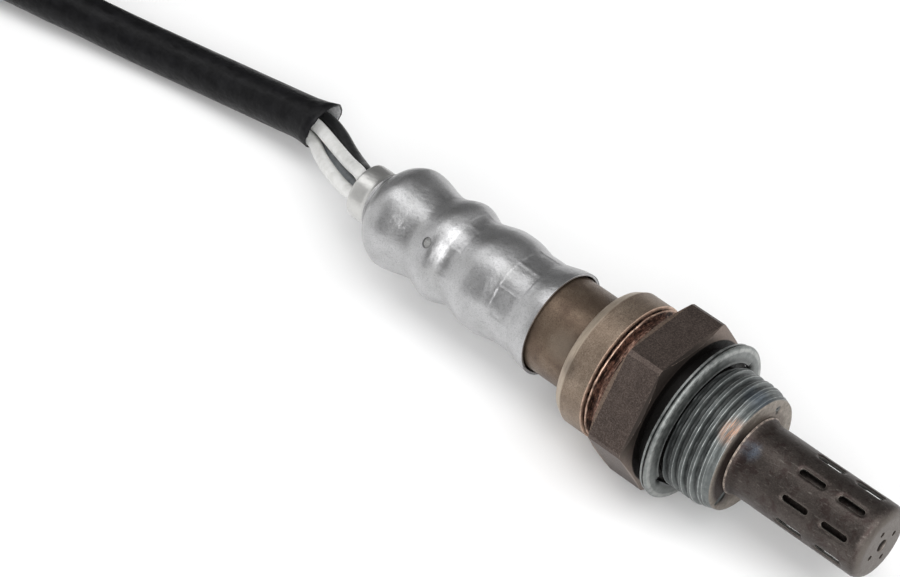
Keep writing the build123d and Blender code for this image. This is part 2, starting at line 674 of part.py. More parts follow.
def connector_housing():
    """Moulded shell with the mating cavity in front and the seal's pocket behind."""
    length, width, height = BODY
    body = Pos(BOOT_LENGTH + length / 2, 0, 0) * Box(length, width, height)
    body = fillet(body.edges().filter_by(Axis.X), BODY_EDGE)
    front = BOOT_LENGTH + length
    cavity_depth, cavity_width, cavity_height = CAVITY
    cavity = RectangleRounded(cavity_width, cavity_height, CAVITY_CORNER_R)
    body -= extrude(across(front - cavity_depth) * cavity, cavity_depth)
    pocket_depth, pocket_width, pocket_height = SEAL_POCKET
    pocket = RectangleRounded(pocket_width, pocket_height, CAVITY_CORNER_R)
    body -= extrude(across(BOOT_LENGTH) * pocket, pocket_depth)
    web = length - cavity_depth - pocket_depth
    for hole in blade_holes(BOOT_LENGTH + pocket_depth, web, SEAT):
        body -= hole
    latch_length, latch_width, latch_height = LATCH
    latch_front = front - LATCH_SETBACK
    latch_rear = latch_front - latch_length
    base = height / 2 - BURIED
    top = height / 2 + latch_height
    crest = latch_rear + LATCH_SLOPE
    outline = Polyline((latch_front, base), (latch_rear, base), (latch_rear, top), (crest, top), close=True)
    ramp = make_face(outline)
    body += extrude(Plane.XZ * ramp, latch_width / 2, both=True)
    rib_length, rib_depth, rib_height = RIB
    for side in (-1, 1):
        place = Pos(front - RIB_SETBACK - rib_length / 2, side * (width + rib_depth - BURIED) / 2, 0)
        body += place * Box(rib_length, rib_depth + BURIED, rib_height)
    return body


def wire_seal():
    """Ribbed rubber block behind the terminals."""
    depth, width, height = (size - SEAL_GAP * 2 for size in SEAL_POCKET)
    start = BOOT_LENGTH + SEAT
    block = extrude(across(start) * RectangleRounded(width - 0.8, height - 0.8, 0.9), depth)
    for i in range(3):
        rib = across(start + 0.8 + i * 2.1) * RectangleRounded(width, height, 1.1)
        block += extrude(rib, 0.9)
    for hole in blade_holes(start + depth - 2.5, 3, SEAT):
        block -= hole
    return block


def terminal_lock():
    """Plate at the bottom of the cavity that keeps the terminals in."""
    _, width, height = CAVITY
    start = BOOT_LENGTH + BODY[0] - CAVITY[0] + SEAT
    plate = extrude(across(start) * RectangleRounded(width - 0.4, height - 0.4, 1.0), LOCK_THICKNESS)
    for hole in blade_holes(start, LOCK_THICKNESS, SEAT):
        plate -= hole
    return plate


def terminal(index):
    """One blade, from the seal through the web into the mating cavity."""
    y = blade_places()[index]
    rear = BOOT_LENGTH + SEAL_POCKET[0] - 2 * SEAL_GAP - 2.4 + SEAT
    front = BOOT_LENGTH + BODY[0] - BLADE_TIP
    blade = extrude(across(rear) * Pos(y, 0) * Rectangle(*BLADE), front - rear)
    return chamfer(blade.faces().sort_by(Axis.X)[-1].edges(), 0.3)


def build():
    pieces = {
        "housing": housing(),
        "gasket": gasket(),
        "outer_shield": outer_shield(),
        "inner_shield": inner_shield(),
        "sensing_element": sensing_element(),
        "lower_ceramic": ceramic_disc(LOWER_CERAMIC_REAR, INNER_FLANGE, ELEMENT_GAP),
        "talc_seal": ceramic_disc(TALC_REAR, LOWER_CERAMIC_REAR, TALC_GAP),
        "upper_ceramic": ceramic_disc(UPPER_CERAMIC_REAR, TALC_REAR, ELEMENT_GAP),
        "disc_spring": disc_spring(),
        "inner_sleeve": inner_sleeve(),
        "packing_ring": packing_ring(),
        "outer_sleeve": outer_sleeve(),
        "vent_membrane": vent_membrane(),
        "wire_grommet": wire_grommet(),
        "carrier_upper": carrier_half(1),
        "carrier_lower": carrier_half(-1),
        "carrier_clamp": carrier_clamp(),
    }
    for i in range(4):
        pieces[f"contact_{i + 1}"] = contact(i)
        pieces[WIRE_NAMES[i]] = wire(i)
    sleeve, path, radii = lead_sleeve()
    tail_radii = arc_radii(tail_points())
    tail, tail_path = tube_along(tail_points(), tail_radii, LEAD_R)
    pieces["lead_sleeve"] = sleeve
    pieces["lead_coil"] = lead_coil()
    pieces["lead_tail"] = tail
    for i, angle in enumerate(TIE_ANGLES):
        pieces[f"coil_tie_{i + 1}"] = coil_tie(angle)
    place = connector_place()
    pieces["connector_boot"] = place * connector_boot()
    pieces["connector_housing"] = place * connector_housing()
    pieces["wire_seal"] = place * wire_seal()
    pieces["terminal_lock"] = place * terminal_lock()
    for i in range(4):
        pieces[f"terminal_{i + 1}"] = place * terminal(i)
    print("lead sleeve radii", [round(r, 1) for r in radii], "length", round(path.length, 1))
    print("lead tail radii", [round(r, 1) for r in tail_radii], "length", round(tail_path.length, 1))
    return pieces


os.makedirs("parts", exist_ok=True)
for node, solid in build().items():
    export_step(solid, f"parts/{node}.step")
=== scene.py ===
import bpy, bmesh, json, math
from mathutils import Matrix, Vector


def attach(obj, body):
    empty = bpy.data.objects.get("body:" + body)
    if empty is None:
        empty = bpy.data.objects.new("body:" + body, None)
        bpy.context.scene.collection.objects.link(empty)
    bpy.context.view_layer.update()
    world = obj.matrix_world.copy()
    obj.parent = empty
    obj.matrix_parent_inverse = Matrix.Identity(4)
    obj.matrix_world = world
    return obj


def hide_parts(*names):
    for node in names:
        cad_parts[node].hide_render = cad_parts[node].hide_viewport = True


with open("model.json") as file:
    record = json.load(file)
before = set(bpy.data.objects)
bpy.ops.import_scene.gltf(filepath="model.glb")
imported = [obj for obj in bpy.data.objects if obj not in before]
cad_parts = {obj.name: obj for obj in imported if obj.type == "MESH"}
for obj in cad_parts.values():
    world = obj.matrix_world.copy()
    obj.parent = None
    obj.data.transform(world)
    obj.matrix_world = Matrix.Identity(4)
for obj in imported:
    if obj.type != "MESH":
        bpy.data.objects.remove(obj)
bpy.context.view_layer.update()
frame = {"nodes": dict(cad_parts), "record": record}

pi, cos, sin = math.pi, math.cos, math.sin


def rad(a):
    return a * pi / 180


# ---------------------------------------------------------------- sizes
# In millimetres and degrees. x runs along the sensor's axis towards its tip, from the hexagon's
# front face; r is the distance from the axis; polar angles run about it from +y towards +z.

MM = 0.001
FLOOR = -11.7
TOWARD_CAMERA = 124.35

# Lead, its coil and the wires
LEAD_R = 3.3
COIL_C = (-161.0, 28.6)
COIL_R = 33.2
COIL_LOW, COIL_HIGH = -7.4, -0.6
MOUTH = Vector((-75.0, 8.3, -5.0))
WIRE_R = 0.95
BUNDLE_R, BUNDLE_ROLL = 1.45, 19.35

# Crimped sleeve, its stub and its vent hole
SHEET = 0.4
STUB_REAR, STUB_R = -57.6, 4.08
VENT_R, VENT_WAY = 0.72, Vector((0, cos(rad(133.6)), sin(rad(133.6))))
VENT = Vector((-41.3, 0, 0)) + 7.5 * VENT_WAY

# Housing; a crest of its thread faces the camera at CREST_X
SKIRT_REAR, SKIRT_R, SKIRT_BORE = -14.2, 10.06, 7.2
GROOVE_REAR = -9.32
HEX_REAR, HEX_ACROSS, HEX_ROLL = -6.6, 22.0, 54.7
CHAMFER_R, CHAMFER_ANGLE = 10.6, 20
PILOT_R, PILOT_X = 9.3, 2.2
UNDERCUT_R, UNDERCUT_X = 8.1, 2.95
THREAD_R, PITCH, CREST_X = 9.0, 1.5, 4.6
TAPER_START, TAPER = 8.0, 0.302
END_X, END_BORE = 10.65, 5.38
GASKET_RIM = 11.7

# Outer shield
SHIELD_R, SHIELD_BORE, SHIELD_END = 5.28, 4.83, 31.4
SLOT_X, SLOT_HALF, SLOT_R, SLOT_ROLL = (20.8, 26.9), 1.525, 0.475, 11.85
SLOTS_ROUND = 8
END_HOLE_R = 0.875

# ---------------------------------------------------------------- camera

camera_data = bpy.data.cameras.new("camera")
camera = bpy.data.objects.new("camera", camera_data)
bpy.context.scene.collection.objects.link(camera)
bpy.context.scene.camera = camera
camera_data.lens = 114.0
camera_data.sensor_width = 36.0
camera_data.clip_start = 0.01
camera.location = (0.13969, -0.19156, 0.28027)
camera_way = Vector((-0.46438, 0.48999, -0.73774))
camera.rotation_euler = camera_way.to_track_quat("-Z", "Y").to_euler()

# ---------------------------------------------------------------- routes of the lead and the wires


def ease(t):
    """0 below 0 and 1 above 1, with a smooth slope between."""
    t = min(1, max(0, t))
    return t * t * (3 - 2 * t)


def coil_points():
    """Control points of the coil's one and a half turns, clockwise from where the lead joins it."""
    sides = 16
    reach = COIL_R / ((6 + 2 * cos(2 * pi / sides)) / 8)
    out = []
    turn, last, climb, climbed = 11.25, 550, 300, 360
    while turn < last:
        a = rad(280 - turn)
        z = COIL_LOW + (COIL_HIGH - COIL_LOW) * ease((turn - climb) / (climbed - climb))
        out.append((COIL_C[0] + reach * cos(a), COIL_C[1] + reach * sin(a), z))
        turn += 360 / sides
    return out


LEAD_ROUTE = [
    tuple(MOUTH), (-84.7, 7.8, -6.6), (-97.8, 6.5, -8.0), (-111.0, 4.3, -8.3),
    (-124.3, 1.4, COIL_LOW), (-134.2, -0.38, COIL_LOW), (-147.0, -2.65, COIL_LOW),
] + coil_points() + [
    (-157.0, 61.8, COIL_HIGH), (-147.5, 61.8, COIL_HIGH), (-130.5, 61.8, -5.2), (-120.0, 61.8, -5.2),
]


def nurbs(name, points):
    """A smooth curve through the air near its control points."""
    data = bpy.data.curves.new(name, "CURVE")
    data.dimensions = "3D"
    line = data.splines.new("NURBS")
    line.points.add(len(points) - 1)
    for point, at in zip(line.points, points):
        point.co = [c * MM for c in at] + [1]
    line.order_u = 3
    line.use_endpoint_u = True
    line.resolution_u = 12
    obj = bpy.data.objects.new(name, data)
    bpy.context.scene.collection.objects.link(obj)
    return obj


def route(name, points):
    """Points along such a curve, in millimetres."""
    obj = nurbs(name, points)
    mesh = bpy.data.meshes.new_from_object(obj)
    out = [Vector(v.co) / MM for v in mesh.vertices]
    bpy.data.objects.remove(obj)
    bpy.data.meshes.remove(mesh)
    return out


# ---------------------------------------------------------------- mesh helpers

def new_object(name, verts, faces, slots=(), which=None, smooth=True):
    """A mesh from points in millimetres; which gives each face's material slot."""
    mesh = bpy.data.meshes.new(name)
    mesh.from_pydata([tuple(c * MM for c in v) for v in verts], [], faces)
    mesh.update()
    obj = bpy.data.objects.new(name, mesh)
    bpy.context.scene.collection.objects.link(obj)
    for m in slots:
        mesh.materials.append(m)
    if which:
        mesh.polygons.foreach_set("material_index", which)
    mesh.polygons.foreach_set("use_smooth", [smooth] * len(mesh.polygons))
    return obj


def sharpen(obj, angle=35):
    """Edges steeper than the angle shade as sharp."""
    bm = bmesh.new()
    bm.from_mesh(obj.data)
    limit = rad(angle)
    for e in bm.edges:
        if len(e.link_faces) == 2 and e.calc_face_angle(0) > limit:
            e.smooth = False
    bm.to_mesh(obj.data)
    bm.free()
    return obj


def grid(rows, caps=False):
    """Faces between rows of points, each row a ring."""
    n = len(rows[0])
    verts = [p for row in rows for p in row]
    faces = []
    for i in range(len(rows) - 1):
        for j in range(n):
            k = (j + 1) % n
            faces.append((i * n + j, i * n + k, (i + 1) * n + k, (i + 1) * n + j))
    if caps:
        faces.append(tuple(range(n))[::-1])
        faces.append(tuple((len(rows) - 1) * n + j for j in range(n)))
    return verts, faces


def ring(x, r, n, shape=None):
    """Points of one ring about the axis; shape(x, r, polar) returns a changed (x, r)."""
    out = []
    for j in range(n):
        a = 2 * pi * j / n
        px, pr = shape(x, r, a) if shape else (x, r)
        out.append((px, pr * cos(a), pr * sin(a)))
    return out


def lathe(name, profile, material, n, shape=None, closed=False):
    """Surface of revolution about the axis from (x, r) stations."""
    stations = profile + profile[:1] if closed else profile
    rows = [ring(x, r, n, shape) for x, r in stations]
    verts, faces = grid(rows)
    return sharpen(weld(new_object(name, verts, faces, [MAT[material]])))


def rod_at(centre, direction, radius, length, n):
    """Closed cylinder for cutting, centred on a point."""
    d = Vector(direction).normalized()
    s = d.orthogonal().normalized()
    t = d.cross(s)
    rows = []
    for h in (-length / 2, length / 2):
        middle = Vector(centre) + d * h
        turns = [2 * pi * j / n for j in range(n)]
        rows.append([tuple(middle + (s * cos(a) + t * sin(a)) * radius) for a in turns])
    verts, faces = grid(rows, caps=True)
    return weld(new_object("cutter", verts, faces, smooth=False))


def weld(obj):
    """Joins points that lie within a micrometre and turns the faces outwards."""
    bm = bmesh.new()
    bm.from_mesh(obj.data)
    bmesh.ops.remove_doubles(bm, verts=bm.verts, dist=1e-6)
    bmesh.ops.recalc_face_normals(bm, faces=bm.faces)
    bm.to_mesh(obj.data)
    bm.free()
    return obj


def arc(cx, cr, r, a0, a1, n):
    """Stations of an arc in the (x, r) plane, angles in degrees from +x towards +r."""
    return [(cx + r * cos(rad(a0 + (a1 - a0) * i / n)), cr + r * sin(rad(a0 + (a1 - a0) * i / n)))
            for i in range(n + 1)]


def hermite(stations, step=0.12):
    """Dense (x, r) stations along a smooth line given as (x, r, slope)."""
    out = []
    for (x0, r0, m0), (x1, r1, m1) in zip(stations, stations[1:]):
        n = max(2, int((x1 - x0) / step))
        for i in range(n):
            t = i / n
            h = x1 - x0
            r = ((2 * t ** 3 - 3 * t * t + 1) * r0 + (t ** 3 - 2 * t * t + t) * h * m0
                 + (-2 * t ** 3 + 3 * t * t) * r1 + (t ** 3 - t * t) * h * m1)
            out.append((x0 + h * t, r))
    out.append(stations[-1][:2])
    return out


def join(name, objects):
    """One object from several, keeping each one's material slots."""
    bpy.ops.object.select_all(action="DESELECT")
    for o in objects:
        o.select_set(True)
    bpy.context.view_layer.objects.active = objects[0]
    bpy.ops.object.join()
    objects[0].name = name
    objects[0].data.name = name
    return objects[0]


def boolean(obj, cutter, kind="DIFFERENCE"):
    """Cuts the cutter away from the object, or keeps what both share, and removes the cutter."""
    mod = obj.modifiers.new("cut", "BOOLEAN")
    mod.operation = kind
    mod.solver = "EXACT"
    mod.object = cutter
    bake(obj)
    bpy.data.objects.remove(cutter)
    return obj


def bevel(obj, width, angle):
    """Breaks the edges that are steeper than the angle."""
    mod = obj.modifiers.new("bevel", "BEVEL")
    mod.width = width * MM
    mod.segments = 2
    mod.limit_method = "ANGLE"
    mod.angle_limit = rad(angle)
    mod.harden_normals = False
    bake(obj)
    return obj


def bake(obj):
    """Applies the object's modifiers to its mesh."""
    graph = bpy.context.evaluated_depsgraph_get()
    mesh = bpy.data.meshes.new_from_object(obj.evaluated_get(graph))
    old = obj.data
    obj.modifiers.clear()
    obj.data = mesh
    bpy.data.meshes.remove(old)


def noise1(x, seed=0):
    """Smooth 1-D noise from -1 to 1."""
    def level(k):
        v = sin((k + seed * 57.3) * 127.1) * 43758.5453
        return 2 * (v - math.floor(v)) - 1
    i = math.floor(x)
    f = ease(x - i)
    return level(i) * (1 - f) + level(i + 1) * f


def noise2(x, y, seed=0):
    """Smooth 2-D noise from -1 to 1."""
    along = noise1(x + 3.1 * noise1(y, seed + 1), seed)
    return 0.5 * (along + noise1(y + 2.7 * noise1(x, seed + 2), seed + 4))


def window(v, lo, hi, soft):
    """1 between lo and hi, 0 outside, with short slopes."""
    return ease((v - lo) / soft + 0.5) * ease((hi - v) / soft + 0.5)


def hill(v, width):
    """1 at 0, falling off like a bell on both sides."""
    return math.exp(-((v / width) ** 2))


def tube_rows(pts, radius, n):
    """Rings of points along a line; radius(i, angle) gives the radius there."""
    rows = []
    angles = [2 * pi * j / n for j in range(n)]
    t = (pts[1] - pts[0]).normalized()
    side = t.orthogonal().normalized()
    for i, p in enumerate(pts):
        t2 = (pts[min(i + 1, len(pts) - 1)] - pts[max(i - 1, 0)]).normalized()
        side = t.rotation_difference(t2) @ side
        side = (side - t2 * side.dot(t2)).normalized()
        up = t2.cross(side)
        t = t2
        rows.append([tuple(p + (side * cos(a) + up * sin(a)) * radius(i, a)) for a in angles])
    return rows


# ---------------------------------------------------------------- node helpers

def set_stops(ramp, stops):
    """Gives a colour ramp its (position, colour) stops."""
    while len(ramp.elements) < len(stops):
        ramp.elements.new(0.5)
    for element, (position, colour) in zip(ramp.elements, stops):
        element.position = position
        element.color = (*colour, 1)


class Look:
    """A material with short names for its nodes. Positions are in millimetres."""

    def __init__(self, name):
        self.material = bpy.data.materials.new(name)
        self.material.use_nodes = True
        self.tree = self.material.node_tree
        self.shader = self.tree.nodes["Principled BSDF"]
        coord = self.tree.nodes.new("ShaderNodeTexCoord")
        self.pos = self.vector("MULTIPLY", coord.outputs["Object"], (1 / MM, 1 / MM, 1 / MM))
        sep = self.tree.nodes.new("ShaderNodeSeparateXYZ")
        self.put(sep.inputs[0], self.pos)
        self.x, self.y, self.z = sep.outputs

    def put(self, socket, value):
        """Joins an output to the socket, or sets the socket to a value."""
        if hasattr(value, "is_output"):
            self.tree.links.new(value, socket)
        elif isinstance(value, tuple) and len(value) == 3 and socket.type == "RGBA":
            socket.default_value = (*value, 1)
        else:
            socket.default_value = value

    def vector(self, op, a, b=None):
        """A vector node; b is a vector, an output or left out."""
        n = self.tree.nodes.new("ShaderNodeVectorMath")
        n.operation = op
        self.put(n.inputs[0], a)
        if b is not None:
            self.put(n.inputs[1], b)
        return n.outputs["Value" if op in ("LENGTH", "DOT_PRODUCT") else "Vector"]

    def math(self, op, a, b=0.0):
        """A number from a and b, each an output or a number."""
        n = self.tree.nodes.new("ShaderNodeMath")
        n.operation = op
        self.put(n.inputs[0], a)
        self.put(n.inputs[1], b)
        return n.outputs[0]

    def times(self, a, b):
        return self.math("MULTIPLY", a, b)

    def streaks(self, scale, detail, rough, along, across, distort=0.0):
        """Noise that is finer or coarser along the axis than across it."""
        stretched = self.vector("MULTIPLY", self.pos, (along, across, across))
        return self.noise(scale, detail, rough, stretched, distort)

    def noise(self, scale, detail=4.0, rough=0.55, vector=None, distort=0.0):
        """Noise with this many waves to a millimetre."""
        n = self.tree.nodes.new("ShaderNodeTexNoise")
        self.put(n.inputs["Vector"], self.pos if vector is None else vector)
        n.inputs["Scale"].default_value = scale
        n.inputs["Detail"].default_value = detail
        n.inputs["Roughness"].default_value = rough
        n.inputs["Distortion"].default_value = distort
        return n.outputs[0]

    def span(self, v, lo, hi, to_lo=0.0, to_hi=1.0):
        """Smooth change from to_lo where v is at lo, to to_hi where it is at hi."""
        n = self.tree.nodes.new("ShaderNodeMapRange")
        n.interpolation_type = "SMOOTHSTEP"
        self.put(n.inputs["Value"], v)
        n.inputs["From Min"].default_value = lo
        n.inputs["From Max"].default_value = hi
        n.inputs["To Min"].default_value = to_lo
        n.inputs["To Max"].default_value = to_hi
        return n.outputs[0]

    def band(self, v, a, b, soft):
        """1 between a and b, 0 outside, with soft ends."""
        up = self.span(v, a - soft, a + soft)
        down = self.span(v, b - soft, b + soft, 1.0, 0.0)
        return self.times(up, down)

    def spot(self, centre, radius, soft, squash=(1, 1, 1)):
        """1 near a point in millimetres, falling to 0 at the radius."""
        away = self.vector("MULTIPLY", self.vector("SUBTRACT", self.pos, centre), squash)
        return self.span(self.vector("LENGTH", away), radius * (1 - soft), radius, 1.0, 0.0)

    def polar(self):
        """Angle about the axis, in turns."""
        a = self.math("ARCTAN2", self.z, self.y)
        return self.math("DIVIDE", a, 2 * pi)

    def radius(self):
        """Distance from the axis."""
        squares = self.math("ADD", self.times(self.y, self.y), self.times(self.z, self.z))
        return self.math("SQRT", squares)

    def mix(self, f, a, b):
        """Colour a where f is 0 and b where it is 1."""
        n = self.tree.nodes.new("ShaderNodeMix")
        n.data_type = "RGBA"
        self.put(n.inputs["Factor"], f)
        self.put(n.inputs[6], a)
        self.put(n.inputs[7], b)
        return n.outputs[2]

    def ramp(self, f, *stops):
        """Colours from (position, colour) stops."""
        n = self.tree.nodes.new("ShaderNodeValToRGB")
        self.put(n.inputs[0], f)
        set_stops(n.color_ramp, stops)
        return n.outputs[0]

    def edge(self, size):
        """1 on convex edges, from the bevelled normal."""
        n = self.tree.nodes.new("ShaderNodeBevel")
        n.samples = 4
        n.inputs["Radius"].default_value = size * MM
        return self.span(self.vector("DOT_PRODUCT", n.outputs[0], self.normal()), 0.999, 0.93)

    def normal(self):
        """Direction in which the surface faces."""
        return self.tree.nodes.new("ShaderNodeNewGeometry").outputs["Normal"]

    def toward(self, angle):
        """Cosine of the turn about the axis away from an angle in degrees."""
        a = self.times(self.y, cos(rad(angle)))
        b = self.times(self.z, sin(rad(angle)))
        return self.math("DIVIDE", self.math("ADD", a, b), self.radius())

    def cut_side(self):
        """1 on faces whose normal lies across the radius, as on a slot's sides."""
        outward = self.vector("NORMALIZE", self.vector("MULTIPLY", self.pos, (0, 1, 1)))
        facing = self.math("ABSOLUTE", self.vector("DOT_PRODUCT", outward, self.normal()))
        return self.span(facing, 0.6, 0.4)

    def point(self):
        """Pointiness, 0.5 on flat ground."""
        return self.tree.nodes.new("ShaderNodeNewGeometry").outputs["Pointiness"]

    def bump(self, *heights):
        """Bumps from (height, distance in millimetres) pairs."""
        last = None
        for h, d in heights:
            n = self.tree.nodes.new("ShaderNodeBump")
            n.inputs["Strength"].default_value = 1.0
            n.inputs["Distance"].default_value = d * MM
            self.put(n.inputs["Height"], h)
            if last is not None:
                self.put(n.inputs["Normal"], last)
            last = n.outputs[0]
        self.put(self.shader.inputs["Normal"], last)

    def finish(self, colour, rough, metal=0.0, specular=None):
        """The material, with its colour and roughness joined to the shader."""
        self.put(self.shader.inputs["Base Color"], colour)
        self.put(self.shader.inputs["Roughness"], rough)
        self.put(self.shader.inputs["Metallic"], metal)
        if specular is not None:
            self.shader.inputs["Specular IOR Level"].default_value = specular
        return self.material


# ---------------------------------------------------------------- materials

def sleeve_steel():
    """Satin drawn steel with fine scratches, specks and smudges, paler on its collar, with painted shade
    round the vent hole.
    """
    k = Look("sleeve_steel")
    cloud = k.noise(0.28, 4, 0.55)
    colour = k.ramp(cloud, (0.3, (0.40, 0.40, 0.40)), (0.5, (0.46, 0.46, 0.465)),
                    (0.72, (0.52, 0.52, 0.525)))
    smudge = k.noise(0.9, 5, 0.6, distort=0.6)
    colour = k.mix(k.span(smudge, 0.56, 0.68, 0, 0.3), colour, (0.32, 0.32, 0.33))
    scratch = k.streaks(1.0, 2, 0.5, 1.5, 16)
    colour = k.mix(k.span(scratch, 0.66, 0.72, 0, 0.4), colour, (0.85, 0.85, 0.86))
    speck = k.noise(5, 5, 0.75)
    colour = k.mix(k.span(speck, 0.48, 0.68, 0, 0.55), colour, (0.20, 0.20, 0.205))
    collar = k.times(k.span(k.x, -54.1, -54.6), 0.7)
    colour = k.mix(collar, colour, (0.66, 0.655, 0.63))
    # Painted shade: near black round the vent hole.
    vent_shade = k.spot(VENT, 0.88, 0.2)
    colour = k.mix(k.times(vent_shade, 0.75), colour, (0.07, 0.07, 0.07))
    fine = k.streaks(1.0, 6, 0.6, 1.2, 9)
    k.bump((fine, 0.012), (k.noise(0.5, 3), 0.10), (speck, 0.016))
    return k.finish(colour, k.span(fine, 0.3, 0.7, 0.28, 0.40), 1.0)


def tinted_steel():
    """Brown oxide over turned steel, patchy and grained, with one paler place."""
    k = Look("tinted_steel")
    cloud = k.noise(0.35, 5, 0.6, distort=0.4)
    colour = k.ramp(cloud, (0.28, (0.105, 0.073, 0.055)), (0.47, (0.155, 0.112, 0.082)),
                    (0.62, (0.195, 0.145, 0.106)), (0.78, (0.24, 0.19, 0.145)))
    grain = k.noise(6, 6, 0.75)
    colour = k.mix(k.span(grain, 0.42, 0.66, 0, 0.6), colour, (0.075, 0.053, 0.04))
    pale = k.spot((-16.5, -5.6, 4.2), 3.2, 0.9)
    colour = k.mix(k.times(pale, 0.4), colour, (0.36, 0.30, 0.24))
    k.bump((grain, 0.02), (k.noise(1.2, 3), 0.04))
    return k.finish(colour, k.span(grain, 0.3, 0.7, 0.34, 0.5), 0.9)


def skirt_tint(k, cloud, grain):
    """Bronze with darker drawn streaks, a paler, worn rear chamfer and one dark mark."""
    colour = k.ramp(cloud, (0.25, (0.18, 0.135, 0.101)), (0.5, (0.25, 0.191, 0.145)),
                    (0.75, (0.33, 0.265, 0.207)))
    colour = k.mix(k.span(k.noise(6, 4, 0.75), 0.46, 0.64, 0, 0.6), colour, (0.085, 0.062, 0.045))
    colour = k.mix(k.span(grain, 0.52, 0.7, 0, 0.5), colour, (0.45, 0.37, 0.29))
    chamfer = k.band(k.x, -14.5, -12.9, 0.12)
    colour = k.mix(k.times(chamfer, 0.8), colour, (0.50, 0.42, 0.335))
    mark = k.spot((-12.9, -8.4, 5.3), 1.6, 0.8, (1, 0.7, 0.7))
    colour = k.mix(k.times(mark, 0.5), colour, (0.06, 0.045, 0.035))
    drawn = k.streaks(1.0, 4, 0.6, 9, 0.5)
    return k.mix(k.span(drawn, 0.45, 0.7, 0, 0.35), colour, (0.13, 0.098, 0.072))


def groove_tint(k):
    """Coppery scale, torn by dark lines round the axis."""
    colour = k.ramp(k.streaks(1.6, 5, 0.7, 2.2, 1), (0.36, (0.05, 0.03, 0.024)),
                    (0.5, (0.19, 0.105, 0.08)), (0.66, (0.44, 0.28, 0.21)))
    torn = k.streaks(1.0, 4, 0.6, 5.5, 0.5)
    return k.mix(k.span(torn, 0.50, 0.58, 0, 0.9), colour, (0.022, 0.014, 0.012))


def hexagon_tint(k, cloud, grain):
    """Dark brown oxide, speckled light and dark."""
    colour = k.ramp(cloud, (0.3, (0.068, 0.052, 0.046)), (0.55, (0.092, 0.070, 0.061)),
                    (0.8, (0.118, 0.093, 0.082)))
    colour = k.mix(k.span(grain, 0.42, 0.66, 0, 0.7), colour, (0.18, 0.142, 0.122))
    return k.mix(k.span(k.noise(7, 4, 0.75), 0.46, 0.62, 0, 0.7), colour, (0.036, 0.027, 0.024))


def thread_tint(k, turned):
    """Zinc grey with painted highlights beside each crest, painted shade in the crest middles, in the roots
    and near the gasket on one side, and a coppery rub.
    """
    patches = k.streaks(0.7, 6, 0.65, 1.0, 0.6, 0.5)
    colour = k.ramp(patches, (0.3, (0.075, 0.082, 0.082)), (0.52, (0.135, 0.147, 0.145)),
                    (0.75, (0.22, 0.23, 0.225)))
    along = k.math("DIVIDE", k.math("SUBTRACT", k.x, CREST_X), PITCH)
    turns = k.math("SUBTRACT", along, k.polar())
    phase = k.math("FRACT", k.math("ADD", turns, (TOWARD_CAMERA + 180) / 360))
    off_crest = k.math("ABSOLUTE", k.math("SUBTRACT", phase, 0.5))
    # Painted shade: a dark band along the middle of each crest.
    colour = k.mix(k.times(k.band(off_crest, -1.0, 0.09, 0.03), 0.45), colour, (0.06, 0.064, 0.063))
    # Painted highlights: bright lines along both edges of each crest.
    lines = k.times(k.band(off_crest, 0.125, 0.17, 0.015),
                    k.span(k.noise(1.1, 5, 0.7), 0.35, 0.6, 0.25, 0.95))
    colour = k.mix(lines, colour, (0.42, 0.44, 0.43))
    # Painted shade: near black in the thread's roots, by their depth below the crests.
    tapered = k.times(k.math("MAXIMUM", k.math("SUBTRACT", k.x, TAPER_START), 0.0), TAPER)
    height = k.math("ADD", k.radius(), tapered)
    colour = k.mix(k.span(height, 8.72, 8.5, 0, 0.6), colour, (0.028, 0.029, 0.029))
    # Painted shade: darker near the gasket, on the side towards polar 150.
    gasket_side_shade = k.times(k.span(k.x, 6.4, 3.8), k.span(k.toward(150), 0.3, 0.8, 0.2, 0.65))
    colour = k.mix(gasket_side_shade, colour, (0.035, 0.037, 0.037))
    rub = k.times(k.spot((9.9, -3.8, 7.5), 2.6, 0.8, (1.3, 1, 1)), k.span(turned, 0.4, 0.6, 0, 0.9))
    colour = k.mix(rub, colour, (0.42, 0.24, 0.16))
    blue = k.spot((9.6, 2.2, 8.4), 3.0, 0.9)
    return k.mix(k.times(blue, 0.3), colour, (0.15, 0.2, 0.27))


def end_tint(k):
    """Tan end face, browner round the shield, with a painted shadow on one side and painted shade in its
    nick and tear.
    """
    r = k.radius()
    colour = k.ramp(k.noise(1.4, 5, 0.65), (0.3, (0.17, 0.145, 0.122)), (0.7, (0.33, 0.295, 0.255)))
    colour = k.mix(k.span(r, 6.9, 6.3, 0, 0.6), colour, (0.10, 0.075, 0.058))
    # Painted shadow: near black on the side towards polar 165, strongest towards the shield.
    end_shadow = k.times(k.span(k.toward(165), 0.25, 0.75), k.span(r, 7.9, 7.0, 0.2, 1.0))
    colour = k.mix(end_shadow, colour, (0.035, 0.024, 0.021))
    # Painted shade: dark spots in the tear and in the nick.
    colour = k.mix(k.spot((10.4, -5.5, -3.45), 1.0, 0.5), colour, (0.012, 0.010, 0.009))
    return k.mix(k.spot((10.4, 4.55, 4.45), 0.5, 0.6), colour, (0.03, 0.025, 0.02))


def hexagon_chamfers(k, body, grain):
    """Bare metal on the hexagon's cones; painted shade darkens the front one towards the camera."""
    r = k.radius()
    rear = k.times(k.band(k.x, -6.65, -5.9, 0.05), k.span(r, 10.6, 10.9))
    body = k.mix(k.times(rear, k.span(grain, 0.3, 0.6, 0.1, 0.6)), body, (0.30, 0.22, 0.165))
    cone = k.times(k.band(k.x, -0.74, -0.03, 0.04), k.span(r, 10.55, 10.7))
    body = k.mix(k.times(cone, k.span(grain, 0.35, 0.65, 0.5, 0.9)), body, (0.25, 0.20, 0.17))
    # Painted shade on the front cone, on the side towards the camera.
    cone_shade = k.span(k.toward(124), 0.35, 0.85)
    return k.mix(k.times(cone, cone_shade), body, (0.050, 0.040, 0.035))


